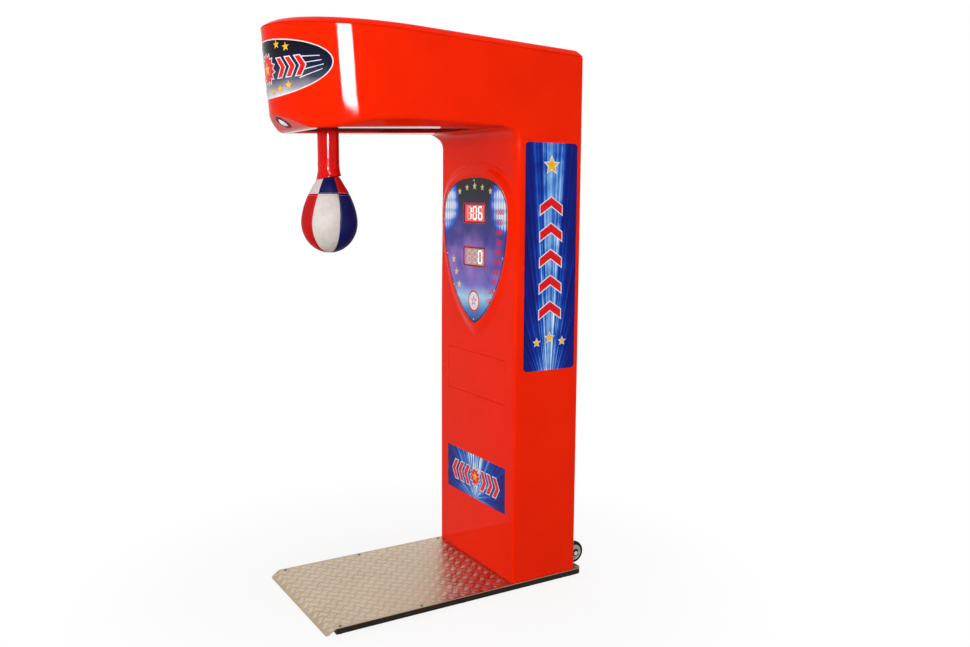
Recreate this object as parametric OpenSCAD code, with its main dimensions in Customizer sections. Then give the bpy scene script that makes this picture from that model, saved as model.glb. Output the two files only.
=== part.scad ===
// Boxing machine: a ball on a swinging arm under a cantilever head, on a tread plate base.
// Origin in the middle of the floor area. +X is the right side seen from the player, +Y is the rear.

/* [Base] */
// Width of the base and its tread plate
base_w = 630; // [626:2:700]
// Rear end of the base, behind the origin
base_rear = 585; // [580:1:600]
// Bend of the tread plate, in front of the origin
plate_front = 536; // [480:2:560]
// Horizontal run of the bent-down front lip
ramp_run = 40; // [25:1:60]
// Thickness of the tread plate
plate_t = 2; // [1.5:0.5:4]
// Width of a base rail
rail_w = 40; // [30:1:50]
// Height of a base rail
rail_h = 22; // [16:1:40]
// Wall of the base rails
rail_wall = 2.5; // [1.5:0.5:4]
// Radius of the rear corners of the base
base_corner_r = 25; // [10:1:40]
// Height of the rubber floor pads
pad_h = 3; // [2:0.5:8]
// Radius of the rubber floor pads
pad_r = 16; // [10:1:20]

/* [Column] */
// Width of the column and of the head
col_w = 616; // [600:2:620]
// Front face of the column, behind the origin
col_front = 238; // [220:1:260]
// Rear face of the column, behind the origin
col_rear = 550; // [530:1:560]
// Radius of the vertical corners of the column
col_corner_r = 12; // [6:1:25]
// Wall of the moulded body shell
shell_t = 5; // [3:0.5:7]
// Radius of the hollow between the column front and the head
neck_r = 65; // [40:1:90]

/* [Head] */
// Foremost point of the head at the lid seam, in front of the origin
head_front = 650; // [620:1:660]
// Depth of the elliptic nose of the head
nose_depth = 450; // [380:5:500]
// Backward lean of the nose in degrees
nose_lean = 4.7; // [2:0.1:6]
// Height of the lid seam at the rear face
seam_z = 2148; // [2120:1:2200]
// Slope of the lid seam in degrees
top_slope = 2.3; // [1:0.1:3]
// Distance of the chin's lower edge behind the foremost point of the nose
chin_in = 108; // [96:1:116]
// Height of the lower edge of the chin
chin_z = 1835; // [1820:1:1850]
// Slope of the chin face in degrees
chin_angle = 33; // [30:1:40]
// Rise of the underside towards the column in degrees
under_slope = 2.35; // [1:0.05:3]
// Height of the lower side bevel at the chin
bevel_h = 50; // [30:1:60]
// Slope of the lower side bevel in degrees
bevel_angle = 28; // [24:1:45]
// Fall of the lower side bevel towards the column in degrees
bevel_fall = 1.3; // [1:0.01:4]
// Height of the lid above its seam
lid_h = 26; // [18:1:40]
// Inward run of the lid's bevelled edge at the sides
lid_bevel = 18; // [8:1:30]
// Inward run of the lid's bevelled edge at the nose
lid_nose_bevel = 40; // [20:1:60]
// Radius of the lid's rear edge
lid_rear_r = 24; // [10:1:26]
// Wall of the lid
lid_t = 4; // [3:0.5:6]

/* [Head floor] */
// Thickness of the floor panel inside the head
floor_t = 4; // [2:0.5:6]
// Half width of the opening in the shell under the floor panel
under_half = 150; // [140:1:160]
// Front end of that opening, in front of the origin
under_front = 500; // [490:1:510]
// Rear end of that opening, behind the origin
under_rear = 150; // [145:1:155]
// Overlap of the floor panel on the shell
floor_lap = 20; // [12:1:24]
// Half width of the slot for the arm
slot_half = 62; // [58:1:66]
// Front end of the slot for the arm, in front of the origin
slot_front = 480; // [474:1:486]
// Half width of the well for the raised ball
well_half = 121; // [118:1:128]
// Front end of the well, in front of the origin
well_front = 150; // [148:1:170]
// Rear end of the well, behind the origin
well_rear = 135; // [132:1:138]
// Width of the rubber trim round the well
trim_w = 7; // [4:0.5:10]
// Thickness of the rubber trim round the well
trim_t = 3; // [2:0.5:4.5]

/* [Ball and arm] */
// Pivot axis, in front of the origin
pivot_y = 411; // [405:1:416]
// Height of the pivot axis
pivot_z = 1930; // [1925:1:1935]
// Drop from the pivot to the widest part of the ball
ball_drop = 433; // [420:1:440]
// Largest radius of the ball
ball_r = 106.5; // [90:0.5:108]
// Drop from the widest part of the ball to its lowest point
ball_low = 114; // [100:1:120]
// Height from the widest part of the ball to the end of its neck
ball_high = 172; // [160:1:185]
// Radius of the ball's neck
ball_neck_r = 39; // [34:1:39]
// Radius of the core inside the ball
core_r = 55; // [40:1:60]
// Radius of the arm tube
arm_r = 14; // [10:0.5:18]
// Radius of the pivot shaft
shaft_r = 10; // [8:0.5:12]
// Outer radius of the arm hub
hub_r = 20; // [17:0.5:22]
// Radius of the sleeve at its top
sleeve_top_r = 38; // [30:1:42]
// Radius of the sleeve at its hem
sleeve_hem_r = 47; // [47:1:52]
// Wall of the sleeve
sleeve_t = 2; // [1:0.5:3]
// Clearance of running fits
fit = 0.05; // [0.02:0.01:0.1]

/* [Display] */
// Height of the lowest point of the display panel
panel_low = 1071; // [1060:1:1080]
// Height of the widest part of the display panel
panel_mid = 1501; // [1490:1:1510]
// Height of the top of the display panel
panel_top = 1676; // [1670:1:1690]
// Half width of the display panel
panel_half = 256; // [240:1:262]
// Thickness of the display panel
panel_t = 3.5; // [2:0.5:5]
// Height of the raised pad behind the panel
boss_h = 10; // [7:0.5:14]
// Width of the flat rim of the pad round the panel
boss_rim = 12; // [8:1:16]
// Run of the sloped flank of the pad at the sides
boss_flank = 26; // [12:1:30]
// Run of the sloped flank of the pad at its upper and lower ends
boss_fall = 46; // [20:1:60]
// Half width of a score window
window_half = 84; // [60:1:90]
// Height of a score window
window_h = 72; // [50:1:80]
// Middle height of the upper score window
window_hi = 1531; // [1520:1:1545]
// Middle height of the lower score window
window_lo = 1350; // [1335:1:1365]
// Depth of a score display module
module_d = 26; // [18:1:30]

/* [Cover and decals] */
// Half width of the cover plate in the column front
cover_half = 237; // [180:1:245]
// Lower edge of the cover plate
cover_low = 757; // [700:1:800]
// Upper edge of the cover plate
cover_high = 942; // [900:1:960]
// Joint round the cover plate and the service door
panel_gap = 1.5; // [1:0.25:2.5]
// Thickness of a decal
decal_t = 0.5; // [0.3:0.1:1]
// Front edge of a side decal, behind the origin
side_decal_front = 277; // [260:1:290]
// Width of a side decal
side_decal_w = 249; // [200:1:255]
// Lower edge of a side decal
side_decal_low = 903; // [850:1:950]
// Height of a side decal
side_decal_h = 907; // [700:1:920]
// Corner radius of a side decal
side_decal_r = 16; // [5:1:30]
// Half width of the front decal
front_decal_half = 240; // [200:1:280]
// Lower edge of the front decal
front_decal_low = 301; // [200:1:400]
// Height of the front decal
front_decal_h = 192; // [120:1:220]
// Half width of the head sign seen from the front
sign_half = 237; // [200:1:240]
// Half height of the head sign
sign_rise = 101; // [80:1:105]
// Middle height of the head sign
sign_z = 2045; // [2035:1:2055]

/* [Spotlight] */
// Radius of the spotlight's rim
spot_r = 30; // [24:1:32]
// Radius of the spotlight's lens
spot_lens_r = 22; // [16:1:22]
// Depth of the spotlight's cup
spot_depth = 34; // [20:1:40]
// Distance of the spotlight up the chin face
spot_up = 50; // [46:1:54]

/* [Steel frame inside] */
// Half distance between the middles of the two posts
post_x = 170; // [165:1:175]
// Front face of the posts, behind the origin
post_y = 280; // [278:1:300]
// Width of the post and beam tubes
tube = 50; // [40:1:54]
// Wall of the post and beam tubes
tube_wall = 3; // [2:0.5:5]
// Height of the underside of the head beams
beam_z = 2050; // [2045:1:2058]
// Front end of the head beams, in front of the origin
beam_front = 500; // [480:1:504]
// Thickness of the foot plates
foot_t = 8; // [5:1:12]
// Thickness of the pivot plates
pivot_plate_t = 6; // [4:0.5:8]
// Reach of the arm's lugs from the pivot
lug_reach = 90; // [84:1:92]
// Distance of the arm's lugs from the middle
lug_x = 74; // [72:1:80]

/* [Rear side] */
// Half width of the service door opening
door_half = 200; // [180:1:220]
// Lower edge of the service door opening
door_low = 180; // [160:1:240]
// Upper edge of the service door opening
door_high = 1500; // [1300:5:1600]
// Radius of the transport wheels
wheel_r = 48; // [40:0.5:48]
// Width of the transport wheels
wheel_w = 28; // [20:1:32]
// Distance of the wheels from the sides of the base
wheel_in = 90; // [80:1:100]
// Wheel axle, behind the origin
wheel_y = 602; // [602:1:606]
// Height of the wheel axle
wheel_z = 64; // [60:1:72]
// Radius of the wheel axle
axle_r = 5; // [4:0.5:6]

/* [Hidden] */
$fn = 48;
paint_red = [0.93, 0.14, 0.02];
steel_black = [0.12, 0.1, 0.09];
zinc = [0.75, 0.76, 0.78];

plate_top = pad_h + rail_h + plate_t;
chin_y = head_front - chin_in;
// Blocks that only cut reach well outside the machine
cut_half = 400;
cut_deep = 700;
seam_apex_z = seam_z + (col_rear + head_front) * tan(top_slope);
nose_down = 540;
seam_over = 60;

// Height of the lid seam and of the head's underside at a distance y behind the origin
function seam_at(y) = seam_z + (col_rear - y) * tan(top_slope);
function under_at(y) = chin_z + (y + chin_y) * tan(under_slope);

// Side outline of column and head, drawn inwards by t, as points of y and z
neck_y = col_front - neck_r;
neck_z = under_at(neck_y) - neck_r / cos(under_slope);
function chin_shift(t) = t * (1 / cos(under_slope) + sin(chin_angle) * tan(under_slope) - cos(chin_angle))
    / (sin(chin_angle) + cos(chin_angle) * tan(under_slope));
function chin_point(t, k) = [-chin_y + t * sin(chin_angle) - k * cos(chin_angle),
    chin_z + t * cos(chin_angle) + k * sin(chin_angle)];
function side_outline(t, low, over) = concat(
    [[col_front + t, low]],
    [for (i = [0:12]) let (a = i * (90 + under_slope) / 12)
        [neck_y + (neck_r + t) * cos(a), neck_z + (neck_r + t) * sin(a)]],
    [chin_point(t, chin_shift(t)), chin_point(t, cut_deep)],
    [[-head_front - cut_half, seam_at(-head_front - cut_half) + over]],
    [[col_rear - t, seam_at(col_rear - t) + over], [col_rear - t, low]]);
module side_block(t, low, over)
    translate([-col_w, 0, 0]) rotate([90, 0, 90]) linear_extrude(2 * col_w)
        polygon(side_outline(t, low, over));

// Plan outline of the head: an elliptic nose and straight sides, drawn inwards by t
plan_tail = 200;
function plan_outline(t) = concat(
    [for (i = [-24:24]) let (a = i * 90 / 24)
        [(col_w / 2 - t) * sin(a), t + (nose_depth - t) * (1 - cos(a))]],
    [[col_w / 2 - t, head_front + col_rear + plan_tail],
        [t - col_w / 2, head_front + col_rear + plan_tail]]);
module nose_block(t)
    translate([0, -head_front, seam_apex_z]) rotate([nose_lean, 0, 0])
        translate([0, 0, -nose_down]) linear_extrude(nose_down + 3 * seam_over)
            polygon(plan_outline(t));

module rounded_rect(w, d, r) {
    translate([-w / 2 + r, -d / 2]) square([w - 2 * r, d]);
    translate([-w / 2, -d / 2 + r]) square([w, d - 2 * r]);
    for (x = [-1, 1], y = [-1, 1])
        translate([x * (w / 2 - r), y * (d / 2 - r)]) circle(r);
}
module column_block(t, low)
    translate([0, (col_front + col_rear) / 2, low])
        linear_extrude(seam_apex_z + seam_over)
            rounded_rect(col_w - 2 * t, col_rear - col_front - 2 * t, max(col_corner_r - t, 1));

// Material below the slanted side bevels of the head, drawn inwards by t
bevel_run = chin_y + col_front - 36;
module bevel_block(t)
    for (side = [0, 1])
        mirror([side, 0, 0])
            translate([col_w / 2, -chin_y, chin_z + bevel_h]) rotate([-bevel_fall, 0, 0])
                rotate([0, -bevel_angle, 0]) translate([-cut_half, -cut_half, t - cut_deep])
                    cube([2 * cut_half, cut_half + bevel_run + t, cut_deep]);

module body_form(t, low, over)
    difference() {
        intersection() {
            union() {
                nose_block(t);
                column_block(t, low);
            }
            side_block(t, low, over);
        }
        bevel_block(t);
    }

// Outline of the display shield, drawn outwards by grow at the sides and by rise at its ends
panel_rows = 14;
function shield_half(u) = pow(1 - pow(1 - u, 2), 0.7);
function arch_half(v) = pow(1 - pow(1 - v, 3), 0.42);
function shield_edge(grow, rise) = concat(
    [for (i = [0:panel_rows]) let (u = pow(i / panel_rows, 1.6))
        [(panel_half + grow) * shield_half(u), panel_low - rise + u * (panel_mid - panel_low + rise)]],
    [for (i = [1:panel_rows]) let (v = pow(1 - i / panel_rows, 1.8))
        [(panel_half + grow) * arch_half(v), panel_top + rise - v * (panel_top - panel_mid + rise)]]);
module shield(grow, rise) {
    edge = shield_edge(grow, rise);
    polygon(concat(edge, [for (i = [len(edge) - 2:-1:1]) [-edge[i][0], edge[i][1]]]));
}
// Stands a flat outline of x and z up, from y0 forward by thickness t
module stand_up(y0, t)
    translate([0, y0, 0]) rotate([90, 0, 0]) linear_extrude(t) children();

// Places things on the chin face, the head's underside and the lid seam
module on_chin(up)
    translate([0, -chin_y - up * cos(chin_angle), chin_z + up * sin(chin_angle)])
        rotate([180 - chin_angle, 0, 0]) children();
module on_underside()
    translate([0, -chin_y, chin_z]) rotate([under_slope, 0, 0]) children();
module on_seam()
    translate([0, col_rear, seam_z]) rotate([-top_slope, 0, 0]) children();

module floor_pads()
    color("black")
        for (x = [-1, 1], k = [0, base_bays / 2, base_bays])
            translate([x * (base_w - rail_w) / 2, rail_w / 2 - plate_front + k * bay_pitch, 0])
                cylinder(pad_h, r = pad_r);

// Base outline with square front corners and round rear corners
module base_outline() {
    translate([-base_w / 2, -plate_front]) square([base_w, plate_front + base_rear - base_corner_r]);
    translate([base_corner_r - base_w / 2, 0]) square([base_w - 2 * base_corner_r, base_rear]);
    for (x = [-1, 1])
        translate([x * (base_w / 2 - base_corner_r), base_rear - base_corner_r]) circle(base_corner_r);
}
wheel_x = base_w / 2 - wheel_in;
wheel_slot_w = wheel_w + 18;
module wheel_slots()
    for (x = [-1, 1])
        translate([x * wheel_x - wheel_slot_w / 2, col_rear + 4]) square([wheel_slot_w, base_rear]);

// Frame of channels, closed where they cross, with the pads under its crossings
base_bays = 4;
bay_w = (base_w - 4 * rail_w) / 3;
bay_d = (plate_front + base_rear - rail_w * (base_bays + 2)) / base_bays;
bay_pitch = bay_d + rail_w;
module base_frame()
    color(steel_black) translate([0, 0, pad_h])
        difference() {
            linear_extrude(rail_h)
                difference() {
                    base_outline();
                    wheel_slots();
                    for (i = [0:2], j = [0:base_bays - 1])
                        translate([(i - 1) * (bay_w + rail_w) - bay_w / 2,
                            rail_w - plate_front + j * bay_pitch]) square([bay_w, bay_d]);
                }
            for (i = [-1.5:1.5], j = [0:base_bays - 1])
                translate([i * (bay_w + rail_w) - rail_w / 2 + rail_wall,
                    rail_w - plate_front + j * bay_pitch, -1])
                    cube([rail_w - 2 * rail_wall, bay_d, rail_h - rail_wall + 1]);
        }

module tread_plate()
    color([0.78, 0.73, 0.66]) {
        translate([0, 0, pad_h + rail_h])
            linear_extrude(plate_t)
                difference() {
                    base_outline();
                    wheel_slots();
                }
        translate([-base_w / 2, 0, 0]) rotate([90, 0, 90]) linear_extrude(base_w)
            polygon([[-plate_front, plate_top], [-plate_front, pad_h + rail_h],
                [-plate_front - ramp_run + plate_t, 0], [-plate_front - ramp_run, 0.5]]);
    }

screw_in = 20;
module tread_plate_screws()
    color(steel_black)
        for (x = [-1, 1], y = [screw_in - plate_front, -plate_front / 3, col_front - screw_in])
            translate([x * (base_w / 2 - screw_in / 2 - 4), y, plate_top]) {
                cylinder(1.2, r = 6);
                translate([0, 0, 1.2]) cylinder(1, r1 = 6, r2 = 3, $fn = 24);
            }

// Square tube along one axis, lying from the given corner
module tube_z(x, y, z, h)
    translate([x, y, z])
        difference() {
            cube([tube, tube, h]);
            translate([tube_wall, tube_wall, -1]) cube([tube - 2 * tube_wall, tube - 2 * tube_wall, h + 2]);
        }
module tube_y(x, y, z, l)
    translate([x, y, z])
        difference() {
            cube([tube, l, tube]);
            translate([tube_wall, -1, tube_wall]) cube([tube - 2 * tube_wall, l + 2, tube - 2 * tube_wall]);
        }
cross_half = post_x - tube / 2;
cross_h = 40;
cross_in = (tube - cross_h) / 2;
cross_levels = [150, 620, 1000, 1800];
foot_w = 110;
foot_lap = 15;
gusset = 150;
gusset_t = 8;
latch_y = 320;
latch_bar = 50;
module mast_frame()
    color(steel_black) {
        for (side = [-1, 1]) {
            tube_z(side * post_x - tube / 2, post_y, plate_top + foot_t, beam_z - plate_top - foot_t);
            tube_y(side * post_x - tube / 2, -beam_front, beam_z, beam_front + post_y + tube);
            translate([side * post_x - foot_w / 2, post_y - foot_lap, plate_top])
                cube([foot_w, tube + 4 * foot_lap, foot_t]);
            translate([side * post_x - gusset_t / 2, post_y - gusset, beam_z - gusset])
                rotate([90, 0, 90]) linear_extrude(gusset_t)
                    polygon([[0, gusset], [gusset, gusset], [gusset, 0]]);
        }
        for (z = cross_levels)
            translate([-cross_half, post_y + cross_in, z]) cube([2 * cross_half, cross_h, cross_h]);
        for (y = [-beam_front, post_y + cross_in, latch_bar - latch_y])
            translate([-cross_half, y, beam_z + cross_in]) cube([2 * cross_half, cross_h, cross_h]);
    }
bolt_in = 13;
washer_r = 11;
washer_t = 2;
bolt_head_r = 9.5;
bolt_head_h = 8;
module mast_bolts()
    color(zinc)
        for (side = [-1, 1], x = [-1, 1], row = [0, 1])
            translate([side * post_x + x * (foot_w / 2 - bolt_in),
                post_y - foot_lap + bolt_in + row * (tube + 4 * foot_lap - 2 * bolt_in),
                plate_top + foot_t]) {
                cylinder(washer_t, r = washer_r);
                translate([0, 0, washer_t]) cylinder(bolt_head_h, r = bolt_head_r, $fn = 6);
            }

under_cut_low = 60;
under_cut_high = 90;
under_corner = 30;
module body_shell()
    color(paint_red)
        difference() {
            union() {
                difference() {
                    body_form(0, plate_top, 0);
                    body_form(shell_t, plate_top - 20, seam_over);
                }
                hull() {
                    stand_up(col_front + 1, 1) shield(boss_rim + boss_flank, boss_rim + boss_fall);
                    stand_up(col_front, boss_h) shield(boss_rim, boss_rim);
                }
            }
            stand_up(col_front - boss_h + panel_t, 2 * panel_t) shield(0.5, 0.5);
            for (z = [window_lo, window_hi])
                translate([-window_half - 1, col_front - boss_h, z - window_h / 2 - 1])
                    cube([2 * window_half + 2, boss_h + 3 * shell_t, window_h + 2]);
            translate([-cover_half, col_front - 1, cover_low])
                cube([2 * cover_half, shell_t + 2, cover_high - cover_low]);
            translate([-door_half, col_rear - 2 * shell_t, door_low])
                cube([2 * door_half, 3 * shell_t, door_high - door_low]);
            translate([0, (under_rear - under_front) / 2, chin_z - under_cut_low])
                linear_extrude(under_cut_low + under_cut_high)
                    rounded_rect(2 * under_half, under_front + under_rear, under_corner);
            on_chin(spot_up) translate([0, 0, -3 * shell_t]) cylinder(5 * shell_t, r = spot_r - 3);
            translate([inlet_x - inlet_w / 2 + 4, col_rear - 2 * shell_t, inlet_z - inlet_h / 2 + 4])
                cube([inlet_w - 8, 3 * shell_t, inlet_h - 8]);
        }

// Thin slice of the head's plan between two heights above the seam, drawn inwards
module lid_slice(h0, h1, side_in, nose_in, rear_in)
    intersection() {
        translate([0, nose_in - side_in, 0]) nose_block(side_in);
        on_seam() translate([-col_w, -3 * col_w, h0]) cube([2 * col_w, 3 * col_w - rear_in, h1 - h0]);
    }
module lid_solid(in, top)
    hull() {
        lid_slice(in > 0 ? -1 : 0, 3, in, in, in);
        lid_slice(top - 1, top, lid_bevel + in, lid_nose_bevel + in, lid_rear_r + in);
        lid_slice(top / 2, top / 2 + 1, in + lid_bevel / 4, in + lid_nose_bevel / 2, in + lid_rear_r / 6);
    }
module head_lid()
    color(paint_red)
        difference() {
            lid_solid(0, lid_h);
            lid_solid(lid_t, lid_h - lid_t);
            lid_screw_places() translate([0, 0, -20]) cylinder(40, r = 2.6);
        }
lid_screw_in = 40;
lid_screw_rear = 60;
lid_screw_pitch = 0.3 * (head_front + col_rear);
module lid_screw_places()
    for (x = [-1, 1], k = [0:2])
        on_seam() translate([x * (col_w / 2 - lid_screw_in), -lid_screw_rear - k * lid_screw_pitch, lid_h])
            children();
module lid_screws()
    color(zinc)
        lid_screw_places() {
            translate([0, 0, -8]) cylinder(8, r = 2.5);
            cylinder(1.5, r = 7);
        }

// Flat keyhole: a slot for the arm and a wide well for the ball, drawn outwards by grow
well_corner = 14;
module well_outline(grow) {
    translate([0, (well_rear - well_front) / 2])
        rounded_rect(2 * (well_half + grow), well_front + well_rear + 2 * grow, well_corner + grow);
    translate([0, -slot_front + (slot_front - well_front) / 2 + 20])
        rounded_rect(2 * (slot_half + grow), slot_front - well_front + 40 + 2 * grow, well_corner + grow);
}
floor_lift = shell_t + fit;
module floor_sheet(z, t)
    on_underside() translate([0, chin_y, z]) linear_extrude(t) children();
speaker_x = -120;
speaker_y = -250;
speaker_r = 44;
grille_r = 3;
module head_floor_panel()
    color(paint_red)
        floor_sheet(floor_lift, floor_t)
            difference() {
                translate([0, (under_rear - under_front) / 2])
                    rounded_rect(2 * (under_half + floor_lap), under_front + under_rear + floor_lap, 34);
                well_outline(0);
                translate([speaker_x, speaker_y])
                    for (i = [0:2], k = [0:max(6 * i - 1, 0)])
                        rotate(k * 360 / max(6 * i, 1)) translate([12 * i, 0]) circle(grille_r, $fn = 16);
            }
module well_trim()
    color("black")
        floor_sheet(floor_lift - trim_t, trim_t)
            difference() {
                well_outline(trim_w);
                well_outline(0);
            }

module display_panel()
    color([0.2, 0.2, 0.55])
        stand_up(col_front - boss_h + panel_t, panel_t) shield(0, 0);
// Fixing places along the panel's edge, as x and z
function edge_place(u, side) = [side * (panel_half * shield_half(u) - 9),
    panel_low + u * (panel_mid - panel_low)];
screw_places = concat([[0, panel_top - 10], [0, panel_low + 16]],
    [for (u = [0.35, 0.66, 1], side = [-1, 1]) edge_place(u, side)]);
module display_screws()
    color(zinc)
        for (p = screw_places)
            translate([p[0], col_front - boss_h, p[1]]) rotate([90, 0, 0]) cylinder(1.2, r = 4);

module score_module(z)
    color("black")
        translate([-window_half, col_front - boss_h + panel_t, z - window_h / 2])
            cube([2 * window_half, module_d, window_h]);
module score_display_upper() score_module(window_hi);
module score_display_lower() score_module(window_lo);
board_y = col_front - boss_h + panel_t + module_d;
board_half = window_half + 25;
module display_board()
    color([0.05, 0.35, 0.15]) {
        translate([-board_half, board_y, window_lo - window_h]) cube([2 * board_half, 1.6,
            window_hi - window_lo + 2 * window_h]);
        for (x = [-1, 1], z = [window_lo - window_h + 12, window_hi + window_h - 12])
            translate([x * (board_half - 10), col_front + shell_t, z]) rotate([-90, 0, 0])
                cylinder(board_y - col_front - shell_t, r = 4);
    }

module coin_cover()
    color(paint_red) {
        translate([panel_gap - cover_half, col_front, cover_low + panel_gap])
            cube([2 * (cover_half - panel_gap), shell_t, cover_high - cover_low - 2 * panel_gap]);
        translate([-cover_half - 12, col_front + shell_t, cover_low - 12])
            cube([2 * cover_half + 24, 3, cover_high - cover_low + 24]);
    }
module front_decal()
    color([0.1, 0.15, 0.6])
        translate([-front_decal_half, col_front - decal_t, front_decal_low])
            cube([2 * front_decal_half, decal_t, front_decal_h]);
module side_decal(side)
    color([0.1, 0.15, 0.6])
        translate([side * col_w / 2 - (side < 0 ? decal_t : 0), side_decal_front + side_decal_w / 2,
            side_decal_low + side_decal_h / 2])
            rotate([90, 0, 90]) linear_extrude(decal_t)
                rounded_rect(side_decal_w, side_decal_h, side_decal_r);
module side_decal_right() side_decal(1);
module side_decal_left() side_decal(-1);
module head_sign()
    color([0.05, 0.05, 0.3])
        intersection() {
            difference() {
                nose_block(-decal_t);
                nose_block(0);
            }
            translate([0, -head_front - 50, sign_z]) rotate([-90, 0, 0])
                linear_extrude(nose_depth)
                    polygon([for (i = [0:47]) [sign_half * cos(i * 7.5), sign_rise * sin(i * 7.5)]]);
        }

module spotlight_housing()
    color("black")
        on_chin(spot_up)
            difference() {
                union() {
                    cylinder(2, r = spot_r + 4);
                    translate([0, 0, -spot_depth]) cylinder(spot_depth, r = spot_r - 3.2);
                }
                translate([0, 0, -spot_depth + 4]) cylinder(spot_depth, r = spot_r - 6);
            }
module spotlight_lens()
    color("white")
        on_chin(spot_up)
            intersection() {
                translate([0, 0, -spot_depth + 4]) cylinder(spot_depth - 8, r = spot_lens_r);
                translate([0, 0, -spot_depth + 4]) sphere(spot_depth - 8);
            }
module speaker()
    color("black")
        on_underside() translate([speaker_x, chin_y + speaker_y, floor_lift + floor_t])
            rotate_extrude()
                polygon([[0, 18], [0, 40], [speaker_r * 0.55, 40], [speaker_r * 0.55, 24], [speaker_r, 6],
                    [speaker_r, 0], [speaker_r - 8, 0], [speaker_r - 8, 4], [speaker_r * 0.3, 18]]);

// Things that turn on the arm's pivot axis, which runs along x
module on_pivot() translate([0, -pivot_y, pivot_z]) children();
module along_x(x0, l, r) translate([x0, 0, 0]) rotate([0, 90, 0]) cylinder(l, r = r);
plate_in = cross_half - pivot_plate_t;
pivot_plate_w = 96;
pivot_plate_drop = 45;
bearing_l = 14;
bearing_r = 22;
flange_r = 34;
flange_t = 4;
stop_dy = -19;
stop_dz = 70;
stop_bar_r = 9;
stop_rubber_r = 19;
module pivot_plates()
    color(steel_black)
        on_pivot() {
            for (side = [0, 1])
                mirror([side, 0, 0])
                    difference() {
                        translate([plate_in, -pivot_plate_w / 2, -pivot_plate_drop])
                            cube([pivot_plate_t, pivot_plate_w, beam_z + tube - pivot_z + pivot_plate_drop]);
                        along_x(plate_in - 1, pivot_plate_t + 2, shaft_r + 1);
                    }
            translate([0, stop_dy, stop_dz]) along_x(-plate_in, 2 * plate_in, stop_bar_r);
        }
module pivot_bearings()
    color(zinc)
        on_pivot()
            for (side = [0, 1])
                mirror([side, 0, 0])
                    difference() {
                        union() {
                            along_x(plate_in - bearing_l, bearing_l, bearing_r);
                            along_x(plate_in - flange_t, flange_t, flange_r);
                        }
                        along_x(plate_in - bearing_l - 1, bearing_l + 2, shaft_r + fit);
                    }
module stop_rubbers()
    color("black") {
        for (x = [-lug_x, lug_x]) {
            on_pivot() translate([0, stop_dy, stop_dz])
                difference() {
                    along_x(x - 10, 20, stop_rubber_r);
                    along_x(x - 11, 22, stop_bar_r);
                }
            floor_sheet(floor_lift + floor_t, lug_stop_h)
                translate([x + (x > 0 ? 8 : -8), lug_reach - pivot_y - 4]) circle(11);
        }
    }
lug_stop_h = pivot_z - 28 - under_at(lug_reach - pivot_y) - floor_lift - floor_t;
disc_x = 104;
disc_r = 45;
module optical_sensor()
    color("black")
        on_pivot()
            difference() {
                translate([disc_x - 7, -12, disc_r - 10]) cube([plate_in - disc_x + 7, 24, 24]);
                translate([disc_x - 3, -13, disc_r - 11]) cube([8, 26, 14]);
            }

// Latch: a hook that drops behind the arm's catch pin, drawn by a solenoid
latch_x = 50;
latch_w = 10;
latch_z = 2046;
hook_len = 62;
tail_len = 30;
latch_pin_r = 4;
module on_latch() translate([latch_x, -latch_y, latch_z]) children();
module latch_bracket()
    color(steel_black)
        on_latch() {
            for (x = [-6, latch_w + 2])
                translate([x, -9, -10]) cube([4, latch_bar + 9, beam_z + cross_h - latch_z + 10]);
            translate([-6, 0, 0]) rotate([0, 90, 0]) cylinder(latch_w + 12, r = latch_pin_r);
            difference() {
                translate([latch_w / 2 - 14, tail_len - 16, beam_z + 5 + cross_h - latch_z])
                    cube([28, latch_bar + cross_h - tail_len, 3]);
                translate([latch_w / 2, tail_len, 0]) cylinder(beam_z + 2 * cross_h - latch_z, r = 6);
            }
        }
module solenoid_coil()
    color([0.7, 0.6, 0.2])
        on_latch() translate([latch_w / 2, tail_len, beam_z + 5 + cross_h - latch_z + 3])
            difference() {
                translate([-13, -13, 0]) cube([26, 26, 34]);
                translate([0, 0, -1]) cylinder(30, r = 5 + 5 * fit);
            }
module latch_hook()
    color(zinc)
        on_latch()
            difference() {
                union() {
                    rotate([0, 90, 0]) cylinder(latch_w, r = 9);
                    translate([0, -hook_len, -5]) cube([latch_w, hook_len + tail_len + 4, 11]);
                    translate([0, -hook_len - 6, -20]) cube([latch_w, 9, 26]);
                }
                translate([-1, 0, 0]) rotate([0, 90, 0]) cylinder(latch_w + 2, r = latch_pin_r + fit);
            }
module solenoid_plunger()
    color(zinc)
        on_latch() translate([latch_w / 2, tail_len, 6.3]) {
            cylinder(6, r = 3);
            translate([0, 0, 6]) cylinder(beam_z + cross_h - latch_z + 6, r = 5);
        }

// Swinging arm with its hub, two lugs and a catch pin
module pivot_shaft()
    color(zinc) on_pivot() along_x(-plate_in - 3, 2 * plate_in + 6, shaft_r);
hub_half = lug_x + 4;
arm_end = ball_drop - core_r + 22;
lug_t = 8;
lug_r = 10;
catch_r = 6;
catch_over = 2;
module swing_arm()
    color(steel_black)
        on_pivot()
            difference() {
                union() {
                    along_x(-hub_half, 2 * hub_half, hub_r);
                    translate([0, 0, -arm_end]) cylinder(arm_end, r = arm_r);
                    for (side = [-1, 1])
                        translate([side * lug_x - lug_t / 2, 0, -lug_r])
                            cube([lug_t, lug_reach, 2 * lug_r]);
                    translate([0, lug_reach, 0]) {
                        along_x(-lug_x - lug_t / 2, lug_t, lug_r);
                        along_x(lug_x - lug_t / 2, lug_t, lug_r);
                        along_x(latch_x - catch_over, lug_x - latch_x + catch_over, catch_r);
                    }
                }
                along_x(-hub_half - 1, 2 * hub_half + 2, shaft_r);
            }
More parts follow.
